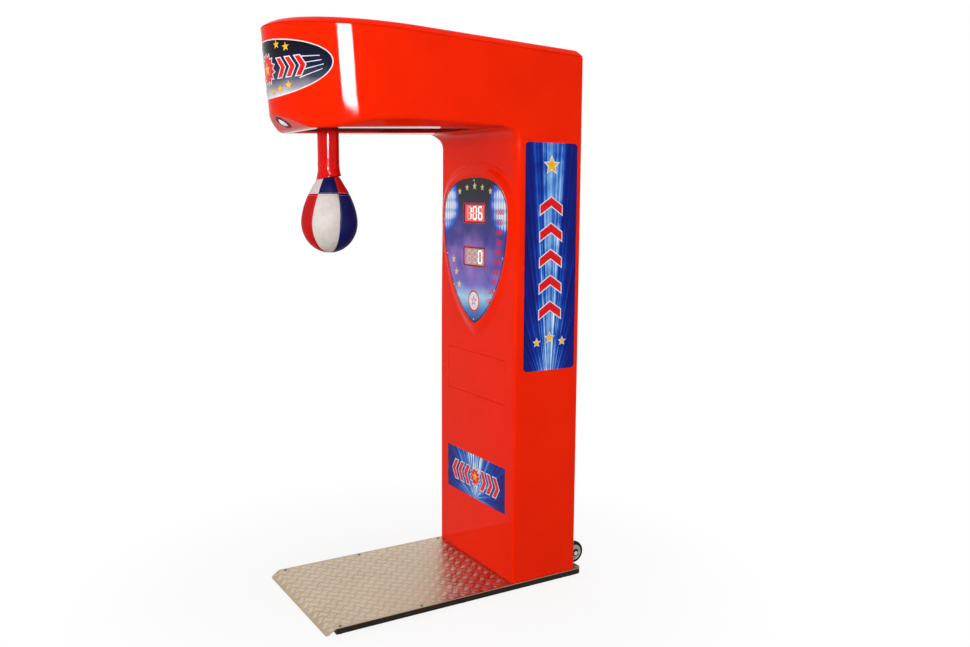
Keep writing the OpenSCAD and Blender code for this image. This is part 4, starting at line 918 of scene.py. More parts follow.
# Screen-printed acrylic: near black on top, violet clouds in the middle, an icy glow low down, and at
# both upper sides a field of pale blue cells that fades through bright blue
def panelMaterial():
    p = panelPrint
    made, tree, shader, place = newMaterial("printedAcrylic", Roughness=0.07, Specular_IOR_Level=0.16)
    parts = addNode(tree, "SeparateXYZ", {"Vector": place})
    cloud = addNode(tree, "TexNoise", {"Vector": place, "Scale": 1 / (p["cloud"] * mm),
                                       "Detail": 3.0}).outputs["Fac"]
    height = addNode(tree, "MapRange", {"Value": parts.outputs["Z"], "From Min": shieldForm["low"] * mm,
                                        "From Max": shieldForm["top"] * mm}).outputs[0]
    mixed = addNode(tree, "Math", {0: cloud, 1: 0.14, 2: height}, operation="MULTIPLY_ADD").outputs[0]
    field = addNode(tree, "ValToRGB", {"Fac": mixed},
                    stops=[(0.08, "#16286E"), (0.17, "#3F86CC"), (0.24, "#A9D2EE"), (0.34, "#6E6CC4"),
                           (0.48, "#4B3FA2"), (0.64, "#3A3496"), (0.8, "#2A2F78"), (0.9, "#191C3C"),
                           (1.0, "#0E0E18")]).outputs["Color"]
    shifted = addNode(tree, "VectorMath", {0: place, 1: p["hazeShift"]}, operation="ADD").outputs[0]
    haze = addNode(tree, "TexNoise", {"Vector": shifted, "Scale": 1 / (p["haze"] * mm),
                                      "Detail": 2.0}).outputs["Fac"]
    middle = addNode(tree, "MapRange", {"Value": height, "From Min": 0.72, "From Max": 0.5}).outputs[0]
    low = addNode(tree, "MapRange", {"Value": height, "From Min": 0.2, "From Max": 0.34}).outputs[0]
    violet = addNode(tree, "MapRange", {"Value": haze, "From Min": 0.4, "From Max": 0.66,
                                        "To Max": 0.8}).outputs[0]
    for share in (middle, low):
        violet = addNode(tree, "Math", {0: violet, 1: share}, operation="MULTIPLY").outputs[0]
    clouds = addNode(tree, "Mix", {"Factor": violet}, data_type="RGBA")
    clouds.inputs["B"].default_value = linearColour("#A67ED0")
    tree.links.new(field, clouds.inputs["A"])
    aside = addNode(tree, "Math", {0: parts.outputs["X"]}, operation="ABSOLUTE").outputs[0]
    spot = addNode(tree, "CombineXYZ", {"X": aside, "Z": parts.outputs["Z"]}).outputs[0]
    lamp = (p["lampX"] * mm, 0.0, p["lampZ"] * mm)
    away = addNode(tree, "VectorMath", {0: spot, 1: lamp}, operation="SUBTRACT").outputs[0]
    away = addNode(tree, "VectorMath", {0: away, 1: (1.0, 1.0, 0.95)}, operation="MULTIPLY").outputs[0]
    reach = addNode(tree, "VectorMath", {0: away}, operation="LENGTH").outputs["Value"]
    ragged = addNode(tree, "Math", {0: cloud, 1: 0.05, 2: reach}, operation="MULTIPLY_ADD").outputs[0]
    cells = []
    for axis, pitch in (("X", p["cellWide"]), ("Z", p["cellHigh"])):  # a wave's period is 0.314 over its scale
        wave = addNode(tree, "TexWave", {"Vector": spot, "Scale": 0.314 / (pitch * mm), "Distortion": 0.4},
                       wave_type="BANDS", bands_direction=axis)
        cells.append(wave.outputs["Fac"])
    cell = addNode(tree, "Math", {0: cells[0], 1: cells[1]}, operation="MULTIPLY").outputs[0]
    bright = addNode(tree, "MapRange", {"Value": cell, "From Max": 0.5, "To Min": 0.62,
                                        "To Max": 1.0}).outputs[0]
    near = addNode(tree, "MapRange", {"Value": ragged, "From Min": 0.085, "From Max": 0.16, "To Min": 1.0,
                                      "To Max": 0.0}, interpolation_type="SMOOTHSTEP").outputs[0]
    tone = addNode(tree, "Math", {0: near, 1: bright}, operation="MULTIPLY").outputs[0]
    glow = addNode(tree, "ValToRGB", {"Fac": tone},
                   stops=[(0.1, "#1B2FA8"), (0.4, "#3D6CE0"), (0.68, "#B4CDF4"), (1.0, "#E8F0FC")])
    share = addNode(tree, "MapRange", {"Value": near, "From Max": 0.3}).outputs[0]
    colour = addNode(tree, "Mix", {"Factor": share}, data_type="RGBA")
    tree.links.new(clouds.outputs["Result"], colour.inputs["A"])
    tree.links.new(glow.outputs["Color"], colour.inputs["B"])
    tree.links.new(colour.outputs["Result"], shader.inputs["Base Color"])
    return made


# One digit of seven bars; lit is a string of the bars that show: a top, b c right, d low, e f left, g middle
def digitBars(x, z, lit):
    d = displayForm
    w, h, t, gap = d["digitWide"] / 2, d["digitHigh"] / 2, d["segment"], d["segmentGap"]

    def bar(x0, z0, x1, z1):
        along = np.array([x1 - x0, z1 - z0])
        along = along / np.linalg.norm(along)
        side = np.array([-along[1], along[0]]) * t / 2
        a, b = np.array([x0, z0]) + along * gap, np.array([x1, z1]) - along * gap
        return np.array([a, a + along * t / 2 - side, b - along * t / 2 - side, b, b - along * t / 2 + side,
                         a + along * t / 2 + side]) + [x, z]

    ends = {"a": (-w, h, w, h), "b": (w, 0, w, h), "c": (w, -h, w, 0), "d": (-w, -h, w, -h),
            "e": (-w, -h, -w, 0), "f": (-w, 0, -w, h), "g": (-w, 0, w, 0)}
    return [bar(*ends[key]) for key in lit]


# Translucent plastic lit from behind: its own light over a face of the same colour, a faint grain
def glowMaterial(name, colour, strength, face):
    return tonedMaterial(name, (face, colour), 6.0, detail=1.0, Roughness=0.25,
                         Emission_Color=linearColour(colour), Emission_Strength=strength)


# The outline of a window, a given amount larger or smaller
def windowOutline(z, grow, corner):
    d = displayForm
    return roundRectangle(2 * d["halfWide"] + grow, 2 * d["halfHigh"] + grow, corner, centre=(0, z))


# The panel with its windows cut out, and its prints: rims, a scale, stars and a disc with a star
def buildDisplay():
    d = displayForm
    heights = (d["windowHigh"], d["windowLow"])
    verts, faces = cutShape([shieldOutline()] + [windowOutline(z, -2, 5) for z in heights], d["sheet"])
    places = onPanel(verts[:, 0], verts[:, 1], verts[:, 2] - d["sheet"] / 2)
    panel = meshPiece("displayPanel", places, faces, panelMaterial(), smooth=False)
    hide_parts("display_panel")
    frames, rims = [shieldOutline(-1.2, -1.2), shieldOutline(-6.5, -6.5)], []
    for z in heights:
        frames += [windowOutline(z, 6, 8), windowOutline(z, -2, 5)]
        rims += [windowOutline(z, 13, 11), windowOutline(z, 6, 8)]
    printPiece("panelFrames", [cutShape(frames)], onPanel, 0.15, darkInk)
    disc, ring = (ovalOutline(0, d["discZ"], d[key], d[key], 64) for key in ("disc", "ring"))
    printPiece("panelRing", [cutShape([ring, disc] + rims)], onPanel, 0.15, redInk)
    printPiece("panelDisc", [cutShape([disc])], onPanel, 0.15, paleInk)
    mark = cutShape([starOutline(0, d["discZ"], 24), starOutline(0, d["discZ"], 15)])
    printPiece("panelMark", [mark], onPanel, 0.3, redInk)
    pitch, aside, top, droop, radius = d["starArc"]  # five in an arc, the middle one larger
    gold = [starOutline(pitch * k + aside, top - droop * k * k, radius + 2 * (k == 0)) for k in range(-2, 3)]
    left, right, top, drop, radius = d["starRow"]  # three down the left edge
    gold += [starOutline(left + right * k, top - drop * k, radius) for k in range(3)]
    printPiece("panelStars", [cutShape(gold)], onPanel, 0.3, dullGoldInk)
    numbers = []
    for k in range(10):
        place = (d["scaleX"] - d["scaleIn"] * (k / 9) ** 2.6, d["scaleTop"] - d["scaleStep"] * k)
        numbers.append(cutNumber(1000 - 100 * k, d["scaleDigit"], place))
    printPiece("panelNumbers", numbers, onPanel, 0.25, redInk)


# Two blocks behind the windows, with seven-segment digits: 106 above, one 0 below
def buildScores():
    d = displayForm
    lit = glowMaterial("litDigitPlastic", "#FFF1EC", 1.0, "#FFE9E2")
    unlit = glowMaterial("unlitDigitPlastic", "#C9B9B4", 0.2, "#B8ABA8")
    highFace = glowMaterial("redWindowPlastic", "#EE3A38", 0.5, "#B8222A")
    lowFace = glowMaterial("dullWindowPlastic", "#C98C90", 0.2, "#A06A70")
    bars = {"0": "abcdef", "1": "bc", "6": "acdefg", " ": ""}
    front = shieldForm["recess"] + d["blockGap"]
    for name, z, digits, face, node in (("scoreUpper", d["windowHigh"], "106", highFace, "score_display_upper"),
                                        ("scoreLower", d["windowLow"], "  0", lowFace, "score_display_lower")):
        shape = prism(windowOutline(z, -1, 4), front, front + d["blockDeep"], standing)
        block = meshPiece(name + "Block", *shape, face, smooth=False)
        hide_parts(node)
        on, off = [], []
        for k, digit in enumerate(digits):
            x = (k - 1) * d["digitPitch"]
            on += digitBars(x, z, bars[digit])
            off += digitBars(x, z, [key for key in "abcdefg" if key not in bars[digit]])
        printPiece(name + "Lit", [cutShape(on)], onPanel, -3.4, lit)
        printPiece(name + "Unlit", [cutShape(off)], onPanel, -3.45, unlit)


buildDisplay()
buildScores()
print("display made")


# Tread plate
treadForm = dict(half=315.0, front=-536.0, rear=585.0, top=27.0, sheet=2.0, lipRun=40.0, lipToe=0.5,
                 lipCorner=16.0, lipColumns=41, bendRadius=10.0, cornerRadius=25.0, wheelX=225.0, slotWide=46.0,
                 slotFront=554.0)
# Five-bar pattern: size of a square and of a bar, and what stays bare of bars
barForm = dict(square=36.0, long=28.0, wide=5.2, high=1.3, sunk=0.05, lipBars=34.0, bareEdge=12.0,
               columnHalf=322.0, columnFront=224.0, columnRear=566.0, bareSlot=38.0, slotAhead=14.0,
               screwX=301.0, screwYs=(-516.0, -178.67, 218.0), bareScrew=16.0)


# Bright rolled aluminium with a warm cast, slightly hazed by shoes: soft streaky reflections
def treadMaterial(name, low, high, rough):
    made, tree, shader, place = newMaterial(name, Metallic=1.0)
    haze = addNode(tree, "TexNoise", {"Vector": place, "Scale": 1 / (140.0 * mm), "Detail": 4.0})
    colour = addNode(tree, "ValToRGB", {"Fac": haze.outputs["Fac"]}, stops=[(0.3, low), (0.7, high)])
    tree.links.new(colour.outputs["Color"], shader.inputs["Base Color"])
    spread = addNode(tree, "MapRange", {"Value": haze.outputs["Fac"], "From Min": 0.3, "From Max": 0.7,
                                        "To Min": rough[0], "To Max": rough[1]})
    tree.links.new(spread.outputs[0], shader.inputs["Roughness"])
    roll = addNode(tree, "Mapping", {"Vector": place, "Scale": (1.0, 0.04, 1.0)})
    grain = addNode(tree, "TexNoise", {"Vector": roll.outputs[0], "Scale": 1 / (1.2 * mm), "Detail": 2.0})
    bump = addNode(tree, "Bump", {"Height": grain.outputs["Fac"], "Strength": 0.12, "Distance": 0.0002})
    tree.links.new(bump.outputs["Normal"], shader.inputs["Normal"])
    return made


# The sheet's section in front of the bend: distance along it to (y, z) of its upper face and its slope
def lipSection(along):
    t = treadForm
    fall = math.atan2(t["top"] - t["lipToe"], t["lipRun"])
    arc = t["bendRadius"] * fall
    turn = np.clip(along / arc, 0, 1) * fall
    rest = np.maximum(along - arc, 0)
    y = t["front"] - t["bendRadius"] * np.sin(turn) - rest * math.cos(fall)
    z = t["top"] - t["bendRadius"] * (1 - np.cos(turn)) - rest * math.sin(fall)
    return y, z, turn


# Places on the plate at a height above it; past the bend they follow the lip
def onTread(x, y, up):
    t = treadForm
    before = np.maximum(t["front"] - y, 0)
    lipY, lipZ, turn = lipSection(before)
    flatY = np.where(before > 0, lipY, y)
    return np.stack([x, flatY - up * np.sin(turn), np.where(before > 0, lipZ, t["top"]) + up * np.cos(turn)],
                    axis=1) * mm


# The plate: a flat sheet with slots for the wheels, and the lip in front of its bend
def buildTread():
    t = treadForm
    aluminium = treadMaterial("rolledAluminium", "#AE987E", "#BEAB92", (0.24, 0.38))
    angle = np.linspace(0, math.pi / 2, 9)
    r, half = t["cornerRadius"], t["half"]
    cornerX, cornerY = half - r + r * np.cos(angle), t["rear"] - r + r * np.sin(angle)
    rear = []
    for x in (t["wheelX"], -t["wheelX"]):
        rear += [(x + t["slotWide"] / 2, t["rear"]), (x + t["slotWide"] / 2, t["slotFront"]),
                 (x - t["slotWide"] / 2, t["slotFront"]), (x - t["slotWide"] / 2, t["rear"])]
    outline = np.concatenate([[(half, t["front"])], np.stack([cornerX, cornerY], axis=1), rear,
                              np.stack([-cornerX[::-1], cornerY[::-1]], axis=1), [(-half, t["front"])]])
    verts, faces = cutShape([outline], t["sheet"])
    sheet = (np.stack([verts[:, 0], verts[:, 1], verts[:, 2] + t["top"] - 1], axis=1) * mm, faces)
    # lip: rows along the section and columns across, narrower at the toe where the corners are round
    fall = math.atan2(t["top"] - t["lipToe"], t["lipRun"])
    reach = t["bendRadius"] * fall + (t["lipRun"] - t["bendRadius"] * math.sin(fall)) / math.cos(fall) - 0.8
    along = np.concatenate([np.linspace(0, reach - t["lipCorner"], 10, endpoint=False),
                            reach - t["lipCorner"] * (1 - np.sin(np.linspace(0, math.pi / 2, 9)))])
    back = np.clip((along - (reach - t["lipCorner"])) / t["lipCorner"], 0, 1)
    wide = half - t["lipCorner"] * (1 - np.sqrt(np.maximum(1 - back ** 2, 0)))
    n, m = len(along), t["lipColumns"]
    x = (wide[:, None] * np.linspace(-1, 1, m)[None, :]).ravel()
    y, z, turn = (np.repeat(a, m) for a in lipSection(along))
    top = np.stack([x, y, z], axis=1)
    low = top - np.stack([np.zeros_like(x), -np.sin(turn), np.cos(turn)], axis=1) * t["sheet"]
    low[:, 2] = np.maximum(low[:, 2], 0.2)
    upFaces, count = gridFaces(n, m), n * m
    rim = np.concatenate([np.arange(m), np.arange(1, n) * m + m - 1, (n - 1) * m + np.arange(m - 2, -1, -1),
                          np.arange(n - 2, 0, -1) * m])
    after = np.roll(rim, -1)
    sides = np.stack([rim, after, after + count, rim + count], axis=1)
    lip = (np.concatenate([top, low]) * mm,
           np.concatenate([upFaces, (upFaces + count)[:, ::-1], sides[:, ::-1]]).tolist())
    plate = meshPiece("treadPlate", *joinParts([sheet, lip]), aluminium, smooth=False)
    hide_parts("tread_plate")
    faceOutwards(plate)
    buildBars(treadMaterial("scouredBarTops", "#D4C2AC", "#E0D0BC", (0.3, 0.45)))


# Squares turned by 45 degrees, each with five raised lens-shaped bars, and the bars of squares side by
# side at right angles
def buildBars(material):
    t, b = treadForm, barForm
    step = b["square"] / math.sqrt(2)
    i, j = np.meshgrid(np.arange(-16, 17), np.arange(-26, 26), indexing="ij")
    even = (i + j) % 2 == 0
    i, j = i[even].ravel(), j[even].ravel()
    middle = np.stack([i * step, j * step], axis=1)
    turn = np.where(i % 2 == 0, math.pi / 4, -math.pi / 4)
    direction = np.stack([np.cos(turn), np.sin(turn)], axis=1)
    aside = np.stack([-direction[:, 1], direction[:, 0]], axis=1)
    shift = (np.arange(5) - 2) * b["square"] / 5
    centre = (middle[:, None, :] + aside[:, None, :] * shift[None, :, None]).reshape(-1, 2)
    direction, aside = np.repeat(direction, 5, axis=0), np.repeat(aside, 5, axis=0)
    x, y = centre.T
    # bare: the edges, what lies under the column, round the wheels' slots and round the screws
    side = np.abs(x)
    keep = (y > t["front"] - b["lipBars"]) & (y < t["rear"] - b["bareEdge"])
    keep &= side < t["half"] - b["bareEdge"]
    keep &= ~((side < b["columnHalf"]) & (y > b["columnFront"]) & (y < b["columnRear"]))
    keep &= ~((np.abs(side - t["wheelX"]) < b["bareSlot"]) & (y > t["slotFront"] - b["slotAhead"]))
    for screwY in b["screwYs"]:
        keep &= ~((np.abs(side - b["screwX"]) < b["bareScrew"]) & (np.abs(y - screwY) < b["bareScrew"]))
    centre, direction, aside = centre[keep], direction[keep], aside[keep]
    long, wide, high = b["long"] / 2, b["wide"] / 2, b["high"]
    shape = np.array([(long, 0, 0), (long / 2, wide * 0.86, 0), (0, wide, 0), (-long / 2, wide * 0.86, 0),
                      (-long, 0, 0), (-long / 2, -wide * 0.86, 0), (0, -wide, 0), (long / 2, -wide * 0.86, 0),
                      (long / 2, 0, high * 0.8), (0, 0, high), (-long / 2, 0, high * 0.8)])
    quads = [(0, 1, 8), (1, 2, 9, 8), (2, 3, 10, 9), (3, 4, 10), (4, 5, 10), (5, 6, 9, 10), (6, 7, 8, 9),
             (7, 0, 8)]
    flat = centre[:, None, :] + direction[:, None, :] * shape[None, :, :1]
    flat = flat + aside[:, None, :] * shape[None, :, 1:2]
    up = np.tile(shape[:, 2] - b["sunk"], len(centre))
    flat = flat.reshape(-1, 2)
    starts = np.arange(len(centre)) * len(shape)
    faces = [[start + k for k in quad] for start in starts.tolist() for quad in quads]
    meshPiece("treadBars", onTread(flat[:, 0], flat[:, 1], up), faces, material, smooth=True)


buildTread()
print("tread plate made")


# Ball
ballForm = dict(axisY=-411.0, midZ=1497.0, radius=106.5, low=114.0, high=172.0, neck=39.0, seamUp=107.0,
                gores=6, twist=9.0, puff=1.6, groove=1.9, grooveWide=3.2, pull=0.4, pulls=23, pullReach=16.0,
                wrinkle=0.55, wrinkleFrom=60.0, wrinkleRun=100.0, steps=240, stitch=5.2, rowGap=5.0,
                thread=0.42, loop=0.36, lift=(-0.3, 0.45, -0.3))


# Radius at a height above the widest place: an ellipse below it, R minus (R - neck) t^1.8 above it
def ballRadius(up):
    b = ballForm
    low = b["radius"] * np.sqrt(np.maximum(1 - (np.minimum(up, 0) / b["low"]) ** 2, 0))
    t = np.clip(up / b["high"], 0, 1)
    return np.where(up < 0, low, b["radius"] - (b["radius"] - b["neck"]) * t ** 1.8)


# Where the seams stand, in degrees: they lean a little, more towards the neck
def seamShift(up):
    b = ballForm
    return b["twist"] * np.clip(up / b["high"], 0, 1)


# The sewn surface: the gores puff out between their seams, which sink in as the cross seam does; the
# thread pulls small waves into it, and low wrinkles cross the upper part
def ballSurface(up, degrees):
    b = ballForm
    gore = 360.0 / b["gores"]
    radius = ballRadius(up)
    phase = (degrees - seamShift(up)) / gore
    off = np.abs(phase - np.round(phase)) * gore
    gap = np.radians(off) * radius
    soft = np.clip(radius / 40.0, 0, 1)
    puff = b["puff"] * (np.abs(np.sin(phase * math.pi)) ** 0.6 - 0.8)
    dip = b["groove"] * np.exp(-(gap / b["grooveWide"]) ** 2)
    cross = b["groove"] * np.exp(-((up - b["seamUp"]) / b["grooveWide"]) ** 2)
    pull = b["pull"] * np.sin(np.radians(degrees) * b["pulls"])
    pull = pull * np.exp(-((up - b["seamUp"]) / b["pullReach"]) ** 2)
    fold = b["wrinkle"] * np.sin(up * 0.11 + 2.2 * np.sin(np.radians(degrees * 2)))
    fold = fold * np.clip((up - b["wrinkleFrom"]) / b["wrinkleRun"], 0, 1)
    return radius + soft * (puff - dip - cross + pull + fold)


# Places on the sewn surface, or out of it by a given amount
def onBall(up, degrees, out=0.0):
    b = ballForm
    radius = ballSurface(up, degrees) + out
    angle = np.radians(degrees)
    return np.stack([radius * np.cos(angle), b["axisY"] + radius * np.sin(angle), b["midZ"] + up], axis=-1) * mm


# Smooth punch-bag leather, lacquered: satin gloss, a fine pebble grain of about 1.5 mm, faint scuffs
def ballLeather(name, colour, scuffed):
    made, tree, shader, place = newMaterial(name, Specular_IOR_Level=0.06)
    scuff = addNode(tree, "TexNoise", {"Vector": place, "Scale": 1 / (45.0 * mm), "Detail": 4.0,
                                       "Roughness": 0.65})
    tone = addNode(tree, "ValToRGB", {"Fac": scuff.outputs["Fac"]}, stops=[(0.42, colour), (0.75, scuffed)])
    tree.links.new(tone.outputs["Color"], shader.inputs["Base Color"])
    rough = addNode(tree, "MapRange", {"Value": scuff.outputs["Fac"], "From Min": 0.35, "From Max": 0.7,
                                       "To Min": 0.45, "To Max": 0.6})
    tree.links.new(rough.outputs[0], shader.inputs["Roughness"])
    pebble = addNode(tree, "TexVoronoi", {"Vector": place, "Scale": 1 / (1.5 * mm)}, feature="SMOOTH_F1")
    bump = addNode(tree, "Bump", {"Height": pebble.outputs["Distance"], "Strength": 0.16, "Distance": 0.0005})
    tree.links.new(bump.outputs["Normal"], shader.inputs["Normal"])
    return made


ballTones = (("redBallLeather", "#BE0A0C", "#A61416"), ("whiteBallLeather", "#D2CAC6", "#C2B8B2"),
             ("navyBallLeather", "#080C4C", "#12154F"))


# Rings of the sewn surface from foot to neck, closed at both poles, with one leather for each gore
def buildBall():
    b = ballForm
    turn = np.linspace(0, math.pi / 2, 60)
    rows = np.concatenate([-b["low"] * np.cos(turn[1:]), np.linspace(0, b["high"], 90)[1:]])
    degrees = np.arange(b["steps"]) * 360.0 / b["steps"]
    up, around = np.meshgrid(rows, degrees, indexing="ij")
    verts = onBall(up, around + seamShift(up)).reshape(-1, 3)
    n, m = len(rows), b["steps"]
    faces = gridFaces(n, m, closeColumns=True)[:, ::-1]
    pole = len(verts)
    poles = np.array([[0, b["axisY"], b["midZ"] - b["low"]], [0, b["axisY"], b["midZ"] + b["high"]]]) * mm
    caps = [[pole, (i + 1) % m, i] for i in range(m)]
    top = (n - 1) * m
    caps += [[top + i, top + (i + 1) % m, pole + 1] for i in range(m)]
    leathers = [ballLeather(*tones) for tones in ballTones]
    ball = meshPiece("sewnBall", np.concatenate([verts, poles]), faces.tolist() + caps, leathers[0], body="arm")
    for leather in leathers[1:]:
        ball.data.materials.append(leather)
    # lower gores go red, white, navy to the right; above the cross seam each is one leather further on
    row, column = np.divmod(np.arange((n - 1) * m), m)
    gore = column * b["gores"] // m
    above = rows[row] >= b["seamUp"] - 0.5
    colour = np.where(above, gore + 3, gore + 2) % 3
    lowCap = (np.arange(m) * b["gores"] // m + 2) % 3
    highCap = (np.arange(m) * b["gores"] // m + 3) % 3
    ball.data.polygons.foreach_set("material_index", np.concatenate([colour, lowCap, highCap]).astype(np.int32))
    faceOutwards(ball)
    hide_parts("ball")
    buildStitches()


# Stitches: small flat-ended loops of waxed thread in two rows beside the cross seam, laid on the sewn
# surface; each has 3 cross-sections along it, with 4 points each
def buildStitches():
    b = ballForm
    thread = tonedMaterial("waxedThread", ("#8E8894", "#B9B4BE"), 2.0, Roughness=0.6)
    ups, turns = [], []
    for side in (-1, 1):
        height = b["seamUp"] + side * b["rowGap"]
        count = int(2 * math.pi * float(ballRadius(np.array(height))) / b["stitch"])
        ups.append(np.full(count, height))
        turns.append(np.arange(count) * 360.0 / count)
    up, turn = np.concatenate(ups), np.concatenate(turns)
    reach = np.array([-1.0, 0.0, 1.0]) * b["stitch"] * b["loop"]
    lift = np.array(b["lift"])
    around = np.array([0, 1, 2, 3]) * math.pi / 2
    radius = ballRadius(up)[:, None, None]
    along = reach[None, :, None] + np.zeros((1, 3, 4))
    aside = b["thread"] * np.cos(around)[None, None, :] + np.zeros((1, 3, 4))
    out = lift[None, :, None] + b["thread"] * np.sin(around)[None, None, :]
    turnAll = turn[:, None, None] + np.degrees(along / radius)
    verts = onBall(up[:, None, None] + aside, turnAll, out).reshape(-1, 3)
    starts = np.arange(len(up)) * 12
    faces = (starts[:, None, None] + gridFaces(3, 4, closeColumns=True)[None, :, :]).reshape(-1, 4)
    ends = np.concatenate([starts[:, None] + [[0, 1, 2, 3]], starts[:, None] + [[11, 10, 9, 8]]])
    meshPiece("ballStitches", verts, np.concatenate([faces, ends])[:, ::-1].tolist(), thread, body="arm")


# Sleeve over the neck
sleeveForm = dict(top=1876.0, capHigh=26.0, armRadius=14.2, hemUp=168.0, hemRadius=47.0, topRadius=38.0,
                  wall=2.0, steps=160, slant=9.0, slantTurn=-125.0, flare=0.42, crease=2.0, fold=0.9, tuck=1.2,
                  bead=0.7, beadAt=0.02, beadWide=0.013)


# Radius of the sleeve at a share t from hem to top and an angle: it narrows fast above the hem, has a
# few soft upright folds, and slack creases that run across it at a slant
def sleeveRadius(t, angle):
    s = sleeveForm
    radius = s["topRadius"] + (s["hemRadius"] - s["topRadius"]) * (1 - np.clip(t / s["flare"], 0, 1)) ** 1.6
    fold = s["fold"] * (np.sin(3 * angle + 1.0 + 1.5 * t) + 0.5 * np.sin(7 * angle + 4 * t))
    crease = s["crease"] * np.sin(21.0 * t + 1.7 * np.sin(angle + 0.6) + 5 * t * t) * np.sin(2 * angle + 9 * t)
    calm = np.clip(t / 0.1, 0, 1) * np.clip((1 - t) / 0.12, 0, 1)
    return radius + (fold + crease - s["tuck"]) * calm


# Glossy red vinyl: soft plasticised sheet, nearly mirror-smooth, that breaks highlights at its creases
vinyl = dict(tones=("#C80604", "#DC0C08"), patch=70.0, grain=14.0, grainDetail=1.5, bump=(0.15, 2.0),
             Roughness=0.1, Specular_IOR_Level=0.1)


# Outside up from the slanting hem with its bead, over the cap to the arm, and back down the inside
def buildSleeve():
    s, b = sleeveForm, ballForm
    hemZ = b["midZ"] + s["hemUp"]
    angle = np.arange(s["steps"]) * 2 * math.pi / s["steps"]
    shares = np.concatenate([[0.0, 0.008, 0.02, 0.032, 0.04], np.linspace(0.055, 1, 70)])
    t, turn = np.meshgrid(shares, angle, indexing="ij")
    slant = s["slant"] * np.cos(turn - math.radians(s["slantTurn"])) * (1 - t) ** 2
    z = hemZ + t * (s["top"] - hemZ) - slant
    outer = sleeveRadius(t, turn) + s["bead"] * np.exp(-((t - s["beadAt"]) / s["beadWide"]) ** 2)
    inner = np.maximum(outer - s["wall"], ballRadius(z - b["midZ"]) + 0.6)
    outer = np.maximum(outer, inner + 1.0)
    inner[-8:] = outer[-8:] - s["wall"]

    def ring(radius, height):
        return np.stack([radius * np.cos(turn), b["axisY"] + radius * np.sin(turn), height], axis=2)

    out, back = ring(outer, z), ring(inner, z)[::-1]
    shares = np.linspace(0, 1, 7)[1:, None]
    capRadius = outer[-1][None, :] * (1 - shares) + s["armRadius"] * shares
    capHeight = z[-1][None, :] + s["capHigh"] * np.sin(shares * math.pi / 2)
    cap = np.stack([capRadius * np.cos(angle), b["axisY"] + capRadius * np.sin(angle),
                    capHeight + np.zeros_like(capRadius)], axis=2)
    under = cap[::-1].copy()
    under[:, :, 2] -= s["wall"]
    rows = np.concatenate([out, cap, under, back])
    faces = gridFaces(len(rows), s["steps"], closeRows=True, closeColumns=True)[:, ::-1]
    sleeve = meshPiece("neckSleeve", rows.reshape(-1, 3) * mm, faces.tolist(),
                       tonedMaterial("glossRedVinyl", **vinyl), body="arm")
    faceOutwards(sleeve)
    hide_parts("neck_sleeve")


buildBall()
buildSleeve()
print("ball and sleeve made")


# The finish of a carried part: its two tones, their patch in mm, its roughness, and its grain in mm
def partFinish(name, tones, patch, rough, metal=0.0, grain=1.0, strength=0.1, level=0.15):
    return tonedMaterial(name, tones, patch, reach=(0.32, 0.68), detail=3.0, rough=rough, grain=grain,
                         bump=(strength, 0.3), Metallic=metal, Specular_IOR_Level=level)


# The main board by depth from the column's front: its grey carrier sheet, the green board, then black chips
def boardFinish():
    made, tree, shader, place = newMaterial("populatedBoard", Specular_IOR_Level=0.15)
    parts = addNode(tree, "SeparateXYZ", {"Vector": place})
    depth = addNode(tree, "MapRange", {"Value": parts.outputs["Y"], "From Min": 320.0 * mm,
                                       "From Max": 350.0 * mm})
    layers = addNode(tree, "ValToRGB", {"Fac": depth.outputs[0]},
                     stops=[(0.0, "#7C7F82"), (0.49, "#0D5228"), (0.558, "#141516")])
    layers.color_ramp.interpolation = "CONSTANT"
    tree.links.new(layers.outputs["Color"], shader.inputs["Base Color"])
    cloud = addNode(tree, "TexNoise", {"Vector": place, "Scale": 1 / (7.0 * mm), "Detail": 3.0})
    spread = addNode(tree, "MapRange", {"Value": cloud.outputs["Fac"], "To Min": 0.25, "To Max": 0.5})
    tree.links.new(spread.outputs[0], shader.inputs["Roughness"])
    return made


